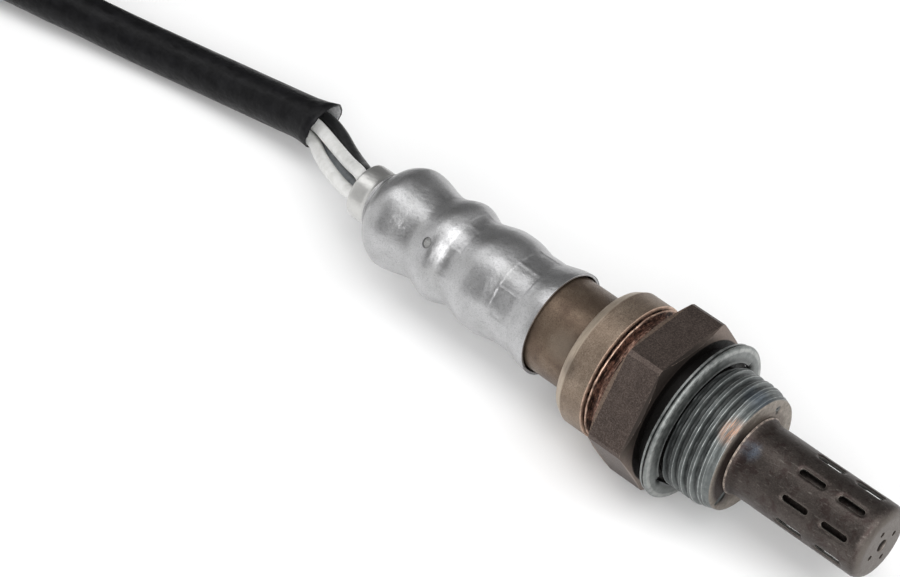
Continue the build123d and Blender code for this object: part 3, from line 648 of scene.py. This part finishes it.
def housing_steel():
    """One heat-tinted steel piece: bronze skirt, coppery groove, dark hexagon, zinc-grey thread."""
    k = Look("housing_steel")
    grain = k.noise(4.5, 6, 0.7)
    cloud = k.noise(0.32, 5, 0.6, distort=0.5)
    turned = k.streaks(1.0, 4, 0.6, 14, 0.6)
    body = k.mix(k.span(k.x, -9.34, -9.30), skirt_tint(k, cloud, grain), groove_tint(k))
    body = k.mix(k.span(k.x, -6.68, -6.62), body, hexagon_tint(k, cloud, grain))
    body = k.mix(k.span(k.x, 0.05, 0.12), body, thread_tint(k, turned))
    body = k.mix(k.span(k.x, 10.45, 10.62), body, end_tint(k))
    body = hexagon_chamfers(k, body, grain)
    # Painted shade: near black from the hexagon's front face to the thread, behind the gasket.
    seat_shade = k.band(k.x, -0.02, 3.0, 0.03)
    body = k.mix(seat_shade, body, (0.008, 0.007, 0.0065))
    # Worn edges and painted highlight: patchy paler convex edges behind the hexagon's front face.
    edge_wear_and_highlight = k.times(k.span(k.noise(1.3, 5, 0.7), 0.46, 0.62, 0.0, 0.75), k.span(k.x, -0.10, -0.20))
    body = k.mix(k.times(k.edge(0.07), edge_wear_and_highlight), body, (0.42, 0.33, 0.27))
    # Painted highlights: patchy bright lines on the rims beside the groove.
    rim_highlights = k.times(k.band(k.x, -9.5, -8.62, 0.03), k.span(k.noise(1.0, 5, 0.7), 0.35, 0.6, 0.2, 0.9))
    body = k.mix(k.times(rim_highlights, k.span(k.radius(), 9.55, 9.8)), body, (0.62, 0.44, 0.34))
    # Painted shade: darker in concave places, found from pointiness.
    hollow_shade = k.span(k.point(), 0.46, 0.40)
    body = k.mix(k.times(hollow_shade, 0.7), body, (0.03, 0.026, 0.024))
    k.bump((grain, 0.02), (turned, 0.012), (k.noise(14, 4, 0.6), 0.008), (k.noise(0.8, 3), 0.06))
    return k.finish(body, k.span(grain, 0.3, 0.7, 0.38, 0.55), 0.85)


def gasket_steel():
    """Dull rolled sheet with random dirt, a painted highlight on the outer fold and painted shade towards
    the inner folds.
    """
    k = Look("gasket_steel")
    streak = k.noise(1.2, 6, 0.65)
    colour = k.ramp(streak, (0.3, (0.11, 0.12, 0.117)), (0.52, (0.20, 0.21, 0.205)),
                    (0.75, (0.30, 0.31, 0.30)))
    r = k.radius()
    # Painted highlight: a paler band on the outer fold.
    fold_highlight = k.times(k.band(r, 10.75, 11.25, 0.15), k.span(streak, 0.35, 0.6, 0.3, 0.75))
    colour = k.mix(fold_highlight, colour, (0.48, 0.49, 0.475))
    # Painted shade: darker towards the inner folds.
    colour = k.mix(k.span(r, 10.3, 9.6, 0, 0.55), colour, (0.05, 0.052, 0.05))
    dirt = k.noise(3.5, 5, 0.7)
    colour = k.mix(k.span(dirt, 0.58, 0.75, 0, 0.6), colour, (0.10, 0.095, 0.085))
    k.bump((k.noise(5, 5, 0.65), 0.02), (k.noise(0.9, 2), 0.02))
    return k.finish(colour, k.span(streak, 0.3, 0.7, 0.34, 0.5), 0.9)


def shield_steel():
    """Heat-tinted thin steel, brown with a blue zone near the housing, lightly stained, with a painted
    shadow at its root and painted highlights on its flange and edges.
    """
    k = Look("shield_steel")
    cloud = k.noise(0.3, 5, 0.6, distort=0.4)
    colour = k.ramp(cloud, (0.3, (0.050, 0.042, 0.038)), (0.52, (0.068, 0.057, 0.052)),
                    (0.75, (0.095, 0.082, 0.074)))
    blue = k.spot((12.2, -2.6, 4.7), 1.9, 0.8)
    colour = k.mix(k.times(blue, 0.7), colour, (0.115, 0.14, 0.18))
    # Painted shadow: darker near the housing, on the side towards polar 150.
    root = k.times(k.band(k.x, 9.5, 12.2, 0.6), k.span(k.toward(150), 0.0, 0.8))
    colour = k.mix(k.times(root, 0.6), colour, (0.03, 0.022, 0.02))
    # Painted highlight: a patchy pale band on the flange's lip.
    flange_highlight = k.times(k.band(k.x, 10.69, 10.95, 0.05), k.span(k.noise(1.5, 4, 0.6), 0.35, 0.55, 0.2, 0.9))
    colour = k.mix(flange_highlight, colour, (0.40, 0.33, 0.28))
    grain = k.noise(5, 6, 0.7)
    colour = k.mix(k.span(grain, 0.48, 0.7, 0, 0.4), colour, (0.17, 0.142, 0.122))
    colour = k.mix(k.span(k.noise(6, 4, 0.75), 0.48, 0.64, 0, 0.5), colour, (0.022, 0.018, 0.016))
    patch = k.noise(0.55, 5, 0.65, distort=0.9)
    colour = k.mix(k.span(patch, 0.5, 0.62, 0, 0.6), colour, (0.036, 0.022, 0.021))
    scuff = k.streaks(1.0, 4, 0.6, 0.9, 3.5)
    colour = k.mix(k.span(scuff, 0.58, 0.72, 0, 0.5), colour, (0.20, 0.18, 0.165))
    slot_sides = k.times(k.cut_side(), k.band(k.x, 14.0, 29.0, 0.3))
    colour = k.mix(slot_sides, colour, (0.20, 0.20, 0.19))
    end = k.span(k.x, 30.6, 31.3)
    colour = k.mix(k.times(end, 0.35), colour, (0.24, 0.215, 0.19))
    # Painted highlights: paler on the convex edges.
    colour = k.mix(k.times(k.edge(0.1), 0.5), colour, (0.42, 0.37, 0.32))
    k.bump((grain, 0.016), (k.noise(1.0, 3), 0.05))
    return k.finish(colour, k.span(grain, 0.3, 0.7, 0.36, 0.50), 0.9)


def plain_metal(name, light, dark, rough=0.35):
    """Clean metal with a fine grain."""
    k = Look(name)
    grain = k.noise(3, 5, 0.6)
    colour = k.mix(k.span(grain, 0.3, 0.7), dark, light)
    k.bump((k.noise(9, 4), 0.008))
    return k.finish(colour, k.span(grain, 0.3, 0.7, rough - 0.06, rough + 0.08), 1.0)


def dull(name, light, dark, rough=0.6, size=2.0, depth=0.02):
    """Rubber, plastic or ceramic with a grain of the given size and depth."""
    k = Look(name)
    grain = k.noise(size, 5, 0.6)
    colour = k.mix(k.span(grain, 0.3, 0.7), dark, light)
    k.bump((k.noise(size * 3, 4), depth))
    return k.finish(colour, k.span(grain, 0.3, 0.7, rough - 0.07, rough + 0.07), 0.0, 0.4)


def wire_look(name, light, dark, rough=0.42):
    """Insulation with faint waves and handling marks."""
    k = Look(name)
    cloud = k.noise(0.8, 4, 0.6)
    colour = k.mix(k.span(cloud, 0.35, 0.7), light, dark)
    spots = k.noise(4.5, 3, 0.6)
    colour = k.mix(k.span(spots, 0.66, 0.76, 0, 0.25), colour, tuple(0.5 * c for c in dark))
    k.bump((k.noise(3, 4), 0.008), (k.noise(0.9, 2), 0.02))
    return k.finish(colour, k.span(cloud, 0.3, 0.7, rough - 0.06, rough + 0.08), 0.0, 0.4)


def lead_look():
    """Black sleeving with a soft shine, fine pits, dust and rubbed places."""
    k = Look("lead_black")
    cloud = k.noise(0.5, 5, 0.6)
    colour = k.mix(k.span(cloud, 0.35, 0.7), (0.0025, 0.0025, 0.003), (0.007, 0.007, 0.008))
    dust = k.noise(3.5, 4, 0.65)
    colour = k.mix(k.span(dust, 0.68, 0.78, 0, 0.35), colour, (0.05, 0.05, 0.052))
    long = k.streaks(1.0, 4, 0.6, 0.35, 3.2)
    k.bump((k.noise(2.2, 4, 0.6), 0.045), (long, 0.03), (k.noise(0.35, 2), 0.25))
    return k.finish(colour, k.span(long, 0.3, 0.7, 0.28, 0.46), 0.0, 0.15)


MAT = {
    "sleeve_steel": sleeve_steel(),
    "tinted_steel": tinted_steel(),
    "housing_steel": housing_steel(),
    "gasket_steel": gasket_steel(),
    "shield_steel": shield_steel(),
    "spring_steel": plain_metal("spring_steel", (0.5, 0.49, 0.47), (0.33, 0.32, 0.31)),
    "contact_metal": plain_metal("contact_metal", (0.62, 0.6, 0.52), (0.45, 0.43, 0.38), 0.3),
    "terminal_metal": plain_metal("terminal_metal", (0.66, 0.65, 0.62), (0.5, 0.49, 0.47), 0.28),
    "element_ceramic": dull("element_ceramic", (0.78, 0.77, 0.73), (0.66, 0.65, 0.61), 0.55, 3),
    "white_ceramic": dull("white_ceramic", (0.82, 0.81, 0.78), (0.72, 0.71, 0.68), 0.6, 3),
    "talc": dull("talc", (0.66, 0.65, 0.61), (0.52, 0.51, 0.48), 0.8, 5),
    "membrane": dull("membrane", (0.36, 0.36, 0.35), (0.24, 0.24, 0.235), 0.7, 6),
    "grommet_rubber": dull("grommet_rubber", (0.03, 0.03, 0.03), (0.015, 0.015, 0.015), 0.6, 2),
    "wire_white": wire_look("wire_white", (0.72, 0.72, 0.705), (0.62, 0.62, 0.60)),
    "wire_grey": wire_look("wire_grey", (0.235, 0.25, 0.26), (0.175, 0.187, 0.197)),
    "wire_black": wire_look("wire_black", (0.012, 0.012, 0.013), (0.006, 0.006, 0.006), 0.38),
    "lead_black": lead_look(),
    "lead_inside": dull("lead_inside", (0.52, 0.52, 0.52), (0.28, 0.28, 0.29), 0.65, 1.6, 0.08),
    "tie_nylon": dull("tie_nylon", (0.02, 0.02, 0.02), (0.012, 0.012, 0.012), 0.45, 1.5, 0.03),
    "connector_plastic": dull("connector_plastic", (0.035, 0.036, 0.04), (0.022, 0.023, 0.026), 0.5, 6),
    "lock_plastic": dull("lock_plastic", (0.62, 0.60, 0.55), (0.52, 0.50, 0.46), 0.5, 6, 0.01),
    "seal_rubber": dull("seal_rubber", (0.28, 0.06, 0.03), (0.2, 0.045, 0.022), 0.6, 2),
}

for entry in frame["record"]["subparts"]:
    for slot in frame["nodes"][entry["node"]].material_slots:
        slot.material = MAT[entry["material_slot"]]


def place(piece, slot, *nodes):
    """A finished piece rides on the part and stands for its solids."""
    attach(piece, "root")
    if nodes:
        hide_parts(*nodes)
    return piece


# ---------------------------------------------------------------- lead

LEAD_SIDES = 48
LEAD_STEP = 0.9
MOUTH_REACH = 6.0       # the slanted cut pulls on the lead this far from its mouth
MOUTH_INSIDE = (        # depth and radius of the sleeve's inner face
    (0.0, 3.46), (0.35, 3.3), (1.0, 3.1), (2.2, 2.92), (4.0, 2.8), (6.0, 2.8), (9.0, 2.8),
)

lead_line = route("lead_route", LEAD_ROUTE)
lead_pts = [lead_line[0]]
for p in lead_line[1:]:
    if (p - lead_pts[-1]).length > LEAD_STEP:
        lead_pts.append(p)
start = lead_pts[0]
ahead = (lead_pts[1] - start).normalized()


def across(v):
    """Direction of v at right angles to the lead's first stretch."""
    return (v - ahead * v.dot(ahead)).normalized()


high_side = across(Vector((-0.164, 0.769, 0.614)))
near_side = high_side.cross(ahead)


def lead_radius(i, a):
    """The lead's outer radius: flared at the mouth, slightly uneven."""
    s = (lead_pts[i] - start).length
    flare = 0.50 * max(0, 1 - s / 4.0) ** 2
    return LEAD_R + flare + 0.03 * noise1(s * 0.22) + 0.025 * noise1(s * 0.13 + cos(a) * 1.3, 3)


def oblique(p, depth):
    """A mouth point moved along the lead: the sleeve is cut ragged and at a slant."""
    out = across(p - start)
    high, near = out.dot(high_side), out.dot(near_side)
    turn = math.atan2(near, high)
    ragged = 0.12 * noise1(turn * 3.1, 5) + 0.07 * noise1(turn * 9, 8)
    slant = 0.3 + 1.1 * high + 1.1 * near + ragged
    return tuple(p - ahead * slant * max(0, 1 - depth / MOUTH_REACH))


outer = tube_rows(lead_pts, lead_radius, LEAD_SIDES)
spokes = [across(Vector(p) - lead_pts[12]) for p in outer[12]]
for i, middle in enumerate(lead_pts[:8]):
    outer[i] = [oblique(Vector(p), (middle - start).length) for p in outer[i]]
inner = []
for depth, r in MOUTH_INSIDE:
    wavy = 0.06 if 0 < depth < 2 else 0
    inner.append([oblique(start + ahead * depth + out * (r + wavy * noise1(j * 0.8, 2)), depth)
                  for j, out in enumerate(spokes)])
verts, faces = grid(inner[::-1] + outer, caps=True)
inner_faces = LEAD_SIDES * (len(inner) - 1)
which = [1] * inner_faces + [0] * (len(faces) - inner_faces)
lead = weld(new_object("lead", verts, faces, [MAT["lead_black"], MAT["lead_inside"]], which))
place(lead, "lead_black", "lead_sleeve", "lead_coil", "lead_tail")

# ---------------------------------------------------------------- wires

INTO_MOUTH = Vector((0.985, 0.05, 0.163)).normalized()
WIRE_ROUTES = {
    "wire_black": [(-59.8, 2.3, 0.1), (-63.3, 4.4, -2.1), (-67.0, 6.2, -3.3), (-70.8, 8.3, -4.2),
                   (-74.8, 9.7, -4.8)],
    "wire_white_a": [(-59.3, 0.5, 2.0), (-62.8, 2.25, -0.35), (-67.2, 4.25, -2.15), (-71.4, 6.0, -3.4),
                     (-75.25, 7.75, -4.9)],
    "wire_white_b": [(-59.4, -1.35, -0.9), (-63.2, -0.1, -2.1), (-67.2, 1.6, -3.2), (-71.0, 3.8, -4.9),
                     (-74.8, 6.5, -6.7)],
    "wire_grey": [(-60.0, 0.7, -2.1), (-64.1, 2.7, -3.7), (-68.3, 4.6, -5.0), (-72.2, 6.9, -6.3),
                  (-75.8, 8.8, -7.0)],
}
for i, (name, middle) in enumerate(WIRE_ROUTES.items()):
    turn = rad(BUNDLE_ROLL + 90 * i)
    o = Vector((0, BUNDLE_R * cos(turn), BUNDLE_R * sin(turn)))
    pts = [Vector((x, 0, 0)) + o for x in (-48.0, -57.2)] + middle
    pts += [MOUTH - INTO_MOUTH * 4.2 + o * 1.05, MOUTH - INTO_MOUTH * 8.5 + o * 0.92]
    wire = nurbs(name + "_cord", pts)
    wire.data.bevel_depth = WIRE_R * MM
    wire.data.bevel_resolution = 6
    wire.data.use_fill_caps = True
    slot = "wire_white" if "white" in name else name
    wire.data.materials.append(MAT[slot])
    place(wire, slot, name)

# ---------------------------------------------------------------- outer sleeve

SLEEVE = [              # x, radius and slope
    (-54.0, 4.25, 0.6), (-53.1, 5.4, 1.7), (-51.7, 6.85, 0.6), (-49.6, 7.55, 0.0), (-44.3, 6.6, 0.0),
    (-40.6, 7.55, 0.0), (-37.4, 6.68, 0.0), (-33.3, 7.51, 0.03), (-31.3, 7.46, -0.1), (-28.1, 6.95, 0.0),
    (-26.1, 6.95, 0.0), (-22.5, 7.70, 0.12), (-21.7, 7.75, 0.0),
]
STUB = [
    (STUB_REAR, 3.7), (STUB_REAR, 3.93), (-57.54, 4.02), (-57.42, 4.07), (-57.2, STUB_R), (-56.4, STUB_R),
    (-55.2, 4.07), (-54.82, STUB_R), (-54.66, 4.14), (-54.5, 4.3), (-54.36, 4.38), (-54.22, 4.37),
    (-54.12, 4.27), (-54.02, 4.27),
]
JAWS = [                # rear and front edge, first jaw's polar angle, width in degrees, depth
    (-46.4, -42.4, 3.0, 31.0, 0.008),
    (-38.6, -36.4, 16.0, 33.0, 0.03),
    (-29.0, -25.1, 21.0, 33.5, 0.045),
]
JAW_PITCH = 36.0


def jaw_print(x, d, rear, front, first, width, depth):
    """How far one neck's jaws press in at x and d degrees; no two prints are quite alike."""
    if not rear - 0.5 < x < front + 0.5:
        return 0
    k = math.floor((d - first) / JAW_PITCH)
    t = d - first - k * JAW_PITCH
    shift = 0.22 * noise1(k * 1.7 + rear, 6)
    skew = 1.8 * (x - rear) / (front - rear) * noise1(k * 2.3, 4)
    along = window(x, rear + shift, front + 0.6 * shift, 0.16)
    return depth * along * window(t, 1.2 + skew, width + skew, 1.6)


def crimp(x, r, a):
    """Jaw prints round each neck, and the slight waves between them."""
    if r < 6.0:
        return x, r
    drop = sum(jaw_print(x, math.degrees(a), *jaw) for jaw in JAWS)
    wave = 0.02 * noise1(x * 0.5, 2) * sin(3 * a + 0.4) + 0.015 * sin(2 * a + 1.0)
    return x, r - drop + wave


outside = hermite(SLEEVE)
profile = STUB + [(x, r) for x, r in outside if x > -53.95]
profile += arc(-21.85, 7.60, 0.15, 90, 0, 4) + [(-21.7, 7.42), (-21.75, 7.36)]
profile += [(x, r - SHEET) for x, r in outside[::-1] if -30 < x < -21.9]
outer_face = lathe("outer_sleeve_dressed", profile, "sleeve_steel", 240, crimp)
stub_bore = lathe("stub_bore", [(STUB_REAR, 3.7), (-56.5, 3.68), (-54.2, 3.68)], "sleeve_steel", 96)
sleeve = weld(join("outer_sleeve_dressed", [outer_face, stub_bore]))
boolean(sleeve, rod_at(VENT, VENT_WAY, VENT_R, 3, 40))
place(sharpen(sleeve), "sleeve_steel", "outer_sleeve")

# ---------------------------------------------------------------- housing

THREADED = -1           # radius of a station whose real radius comes from the thread


def thread_r(x, a):
    """Worn right-hand thread with blunt crests, fading in at the undercut and tapering at its end."""
    turns = (x - CREST_X) / PITCH - (math.degrees(a) - TOWARD_CAMERA) / 360
    off_crest = abs((turns + 0.5) % 1 - 0.5)
    slope = min(1, max(0, (off_crest - 0.155) / 0.24))
    flank = 0.4 * ease(slope) + 0.6 * slope
    crest = THREAD_R - 0.04 + 0.03 * noise1(turns * 0.9 + a * 2.5, 3) - 0.03 * max(0, 1 - off_crest / 0.12)
    limit = THREAD_R - TAPER * max(0, x - TAPER_START)
    if x < 3.6:
        limit = 8.15 + 1.4 * max(0, x - 3.0)
    r = min(crest - 0.62 * flank, limit + 0.02 * noise1(a * 9 + x * 2, 6))
    return max(8.08, r) + 0.012 * noise1(x * 7 + a * 5, 9)


def front(x, r, a):
    """The thread's radius, and a nick and two tears in the end face."""
    if r == THREADED:
        return x, thread_r(x, a)
    if x <= 10.5:
        return x, r
    d = math.degrees(a)
    nick = hill(d - 45.5, 5) * hill(r - 6.9, 0.35)
    tear = hill(d - 212, 2.4) * window(r, 5.4, 7.7, 0.5)
    tear += 0.7 * hill(d - 263 - 7 * (r - 6.6), 3) * window(r, 5.9, 7.4, 0.4)
    return x - 0.3 * nick - 0.5 * tear + 0.02 * noise2(a * 3, r * 1.5, 4), r


profile = [(-0.3, PILOT_R), (0.02, PILOT_R), (PILOT_X, PILOT_R), (2.3, 9.24), (2.5, UNDERCUT_R)]
profile += [(UNDERCUT_X, UNDERCUT_R)] + [(2.96 + 0.07 * i, THREADED) for i in range(108)]
profile += [(10.55, THREADED), (10.6, 8.13), (10.64, 8.07)]
profile += [(END_X, r) for r in (7.95, 7.6, 7.2, 6.8, 6.4, 6.0, 5.62)]
profile += [(10.6, 5.46), (10.5, 5.39), (9.5, END_BORE), (8.0, END_BORE)]
thread = lathe("thread", profile, "housing_steel", 256, front)


def hexagon():
    """Six-sided prism with its corners turned off by a cone at each end."""
    corner_r = HEX_ACROSS / (2 * cos(rad(30)))
    turns = [rad(HEX_ROLL + 60 * k) for k in range(6)]
    rows = [[(x, corner_r * cos(a), corner_r * sin(a)) for a in turns] for x in (HEX_REAR, 0.0)]
    prism = weld(new_object("hexagon", *grid(rows, caps=True), [MAT["housing_steel"]], smooth=False))
    beyond, centre = 12.5, 0.01
    drop = (beyond - CHAMFER_R) * math.tan(rad(CHAMFER_ANGLE))
    cones = [(0.0, centre), (0.0, CHAMFER_R), (-drop, beyond), (HEX_REAR + drop, beyond),
             (HEX_REAR, CHAMFER_R), (HEX_REAR, centre)]
    rows = [ring(x, r, 192) for x, r in cones]
    limit = weld(new_object("limit", *grid(rows, caps=True), [MAT["housing_steel"]], smooth=False))
    bevel(boolean(prism, limit, "INTERSECT"), 0.07, 12)
    for face in prism.data.polygons:
        face.use_smooth = True
    return sharpen(prism, 6)


def upset(x, r, a):
    """Rough, squeezed metal in the groove, and a nearly smooth skirt behind it."""
    if -9.2 < x < -6.5:
        rough = 0.10 * noise2(x * 3.1, a * 9, 2) + 0.06 * noise2(x * 7, a * 24, 5)
        if x < -8.4:
            rough *= 0.5
        return x + 0.05 * noise1(a * 5, 3), r + rough
    return x, r + 0.012 * noise2(x * 1.3, a * 4, 7)


profile = [(-6.5, 9.1), (-6.62, 9.15), (-6.8, 9.28), (-7.0, 9.38), (-7.25, 9.42), (-7.5, 9.42)]
profile += [(-7.75, 9.38), (-7.95, 9.3), (-8.1, 9.2), (-8.25, 9.02), (-8.4, 8.94), (-8.5, 9.1)]
profile += [(-8.58, 9.55), (-8.68, 9.78), (-8.8, 9.84), (-8.92, 9.74), (-8.98, 9.45), (-9.04, 9.1)]
profile += [(-9.15, 8.98), (-9.26, 9.05), (GROOVE_REAR, 9.6), (-9.34, 9.88), (-9.38, 9.98), (-9.46, 10.05)]
profile += [(-9.6 - 0.32 * i, SKIRT_R) for i in range(11)]
profile += [(-12.95, 10.05), (-13.05, 10.01), (-13.2, 9.93), (-13.6, 9.71), (-14.0, 9.49), (-14.13, 9.4)]
profile += [(-14.19, 9.3)] + [(SKIRT_REAR, r) for r in (9.15, 8.6, 8.0, 7.45)]
profile += [(-14.14, 7.26), (-14.0, SKIRT_BORE), (-13.2, SKIRT_BORE)]
skirt = lathe("skirt", profile, "housing_steel", 288, upset)
place(join("housing_dressed", [thread, hexagon(), skirt]), "housing_steel", "housing")

# ---------------------------------------------------------------- gasket

GASKET_HALF = 0.14      # half of the sheet's thickness
FOLD_R = 0.24
STAKES = ((22.5, 0.45), (204.0, 0.4))


def strip(line, half):
    """Closed outline of a strip of sheet along a line of (x, r) points."""
    left, right = [], []
    for i, (x, r) in enumerate(line):
        x0, r0 = line[max(i - 1, 0)]
        x1, r1 = line[min(i + 1, len(line) - 1)]
        d = math.hypot(x1 - x0, r1 - r0)
        nx, nr = -(r1 - r0) / d * half, (x1 - x0) / d * half
        left.append((x + nx, r + nr))
        right.append((x - nx, r - nr))
    return left + right[::-1]


def lay(x, r, a):
    """The loose ring leans, is dished in front, and is staked at two places of its inner edge."""
    if x > 3.0:
        x -= 0.10 * min(1, max(0, (r - 9.6) / 1.5))
    for centre, depth in STAKES:
        off = abs((math.degrees(a) - centre + 180) % 360 - 180) / 7
        if off < 1 and r < 9.9 and x > 2.95:
            dip = 1 - off * off
            x -= depth * dip * min(1, (9.9 - r) / 0.5)
            r += 0.3 * dip * min(1, max(0, (9.7 - r) / 0.5))
    lean = 0.22 * cos(a - rad(124)) - 0.12 * cos(a - rad(214)) - 0.42
    return x + lean + 0.02 * noise1(a * 3, 2), min(GASKET_RIM, r + 0.025 * noise1(a * 4 + x, 5))


fold = [(3.42, 9.17), (3.34, 9.3), (3.30, 9.6), (3.30, 10.1), (3.30, 10.6), (3.30, 10.9)]
fold += arc(3.06, 11.13, FOLD_R, 0, 180, 8) + [(2.82, 10.6), (2.82, 10.2)]
fold += arc(2.58, 9.79, FOLD_R, 0, -180, 8) + [(2.34, 10.2), (2.34, 10.9), (2.36, 11.32)]
gasket = lathe("gasket_dressed", strip(fold, GASKET_HALF), "gasket_steel", 240, lay, closed=True)
place(gasket, "gasket_steel", "gasket")

# ---------------------------------------------------------------- outer shield

SLOT_PITCH = 360 / SLOTS_ROUND


def off_slot(x, a):
    """Distance over the shield's surface from the nearest slot's outline."""
    turned = (math.degrees(a) - SLOT_ROLL + SLOT_PITCH / 2) % SLOT_PITCH - SLOT_PITCH / 2
    aside = SHIELD_R * rad(turned)
    return min(math.hypot(max(0, abs(x - middle) - SLOT_HALF), aside) - SLOT_R for middle in SLOT_X)


def punched(x, r, a):
    """The slots' edges are drawn in, and a small dent lies near the housing."""
    if r < 5.0 or x < 12.5 or x > 30.0:
        return x, r
    r -= 0.19 * max(0, 1 - max(0, off_slot(x, a)) / 0.42) ** 1.4
    aside = SHIELD_R * rad(math.degrees(a) - 256.5)
    r -= 0.22 * hill(x - 14.0, 0.34) * hill(aside, 0.42)
    return x, r + 0.012 * noise1(x * 0.6 + 2.0 * cos(a), 3)


def slot_cutter(middle, polar):
    """Closed capsule-shaped prism standing through the shield's wall."""
    turns = [rad(t) for t in range(-90, 91, 15)]
    outline = [(SLOT_HALF + SLOT_R * cos(t), SLOT_R * sin(t)) for t in turns]
    outline += [(-x, -y) for x, y in outline]
    a = rad(polar)
    rows = [[(middle + x, h * cos(a) - y * sin(a), h * sin(a) + y * cos(a)) for x, y in outline]
            for h in (4.2, 6.0)]
    return weld(new_object("cutter", *grid(rows, caps=True), smooth=False))


profile = [(31.0, END_HOLE_R), (31.3, 0.885), (31.37, 0.93), (SHIELD_END, 1.02)]
profile += [(SHIELD_END, 1.4 + 0.4 * i) for i in range(6)] + arc(30.05, 3.93, 1.35, 0, 90, 12)
profile += [(29.85 - 0.13 * i, SHIELD_R) for i in range(90)]
profile += [(x, SHIELD_R) for x in (17.9, 17.2, 16.4, 15.6)]
profile += [(15.0 - 0.12 * i, SHIELD_R) for i in range(18)]
profile += [(12.4, SHIELD_R), (11.9, 5.30), (11.5, 5.35), (11.2, 5.44), (11.0, 5.54), (10.86, 5.66)]
profile += [(10.76, 5.74), (10.70, 5.70), (10.70, 5.5), (10.66, 5.29), (10.4, SHIELD_R), (8, SHIELD_R)]
profile += [(8, 6.5), (7.55, 6.5)] + [(x, SHIELD_BORE) for x in (7.55, 12.0, 18.0, 24.0)]
profile += arc(30.05, 3.93, 0.9, 90, 0, 6) + [(30.95, 2.4), (30.95, END_HOLE_R)]
shield = lathe("outer_shield_dressed", profile, "shield_steel", 256, punched, closed=True)
cutters = [slot_cutter(middle, SLOT_ROLL + SLOT_PITCH * i) for middle in SLOT_X for i in range(SLOTS_ROUND)]
for i in range(4):
    a = rad(6.1 + 90 * i)
    cutters.append(rod_at((31.2, 2.4 * cos(a), 2.4 * sin(a)), (1, 0, 0), 0.4, 1.6, 24))
boolean(shield, join("cutter", cutters))
place(sharpen(shield), "shield_steel", "outer_shield")

# ---------------------------------------------------------------- floor and light

bpy.ops.mesh.primitive_plane_add(size=4, location=(0, 0, FLOOR * MM))
floor = bpy.context.object
floor.name = "floor"
paper = Look("floor")
tone = paper.mix(paper.noise(0.02, 3), (0.90, 0.90, 0.90), (0.93, 0.93, 0.93))
floor.data.materials.append(paper.finish(tone, 0.9, 0.0, 0.1))


def softbox(name, at, to, width, height, power):
    """Rectangular light at a place in metres, facing another."""
    data = bpy.data.lights.new(name, "AREA")
    data.shape = "RECTANGLE"
    data.size, data.size_y = width, height
    data.energy = power
    obj = bpy.data.objects.new(name, data)
    bpy.context.scene.collection.objects.link(obj)
    obj.location = at
    obj.rotation_euler = (Vector(to) - Vector(at)).to_track_quat("-Z", "Y").to_euler()


softbox("top", (-0.38, -0.08, 0.72), (-0.38, -0.08, 0), 1.2, 0.36, 2.0)
softbox("ahead", (0.42, 0.0, 0.62), (0.1, 0, 0), 0.5, 0.5, 2.4)
softbox("front", (0.38, -0.52, 0.42), (0, 0, 0), 0.5, 0.5, 2.2)

world = bpy.data.worlds.new("studio")
bpy.context.scene.world = world
world.use_nodes = True
sky = world.node_tree
backdrop = sky.nodes["Background"]
way = sky.nodes.new("ShaderNodeTexCoord")


def dome(toward, *stops):
    """Grey levels by how far a direction points toward a given one."""
    dot = sky.nodes.new("ShaderNodeVectorMath")
    dot.operation = "DOT_PRODUCT"
    sky.links.new(way.outputs["Generated"], dot.inputs[0])
    dot.inputs[1].default_value = toward
    levels = sky.nodes.new("ShaderNodeValToRGB")
    sky.links.new(dot.outputs["Value"], levels.inputs[0])
    set_stops(levels.color_ramp, [(position, (v, v, v)) for position, v in stops])
    return levels.outputs[0]


domes = [
    dome((0.0, -0.05, 1.0), (0.0, 0.34), (0.3, 0.20), (0.62, 0.22), (0.8, 0.34), (0.93, 0.6), (1.0, 0.7)),
    dome((-0.85, -0.45, 0.25), (0.0, 0.0), (0.70, 0.0), (0.9, 0.95), (1.0, 1.2)),
    dome((0.68, -0.60, 0.42), (0.0, 0.0), (0.66, 0.0), (0.88, 1.3), (1.0, 1.7)),
    dome((0.8, 0.58, 0.15), (0.0, 0.0), (0.45, 0.0), (0.78, 0.9), (1.0, 1.1)),
]
brightest = domes[0]
for level in domes[1:]:
    lighter = sky.nodes.new("ShaderNodeMix")
    lighter.data_type = "RGBA"
    lighter.blend_type = "LIGHTEN"
    lighter.inputs["Factor"].default_value = 1.0
    sky.links.new(brightest, lighter.inputs[6])
    sky.links.new(level, lighter.inputs[7])
    brightest = lighter.outputs[2]
sky.links.new(brightest, backdrop.inputs[0])
backdrop.inputs[1].default_value = 0.85
bpy.context.scene.view_settings.view_transform = "Standard"
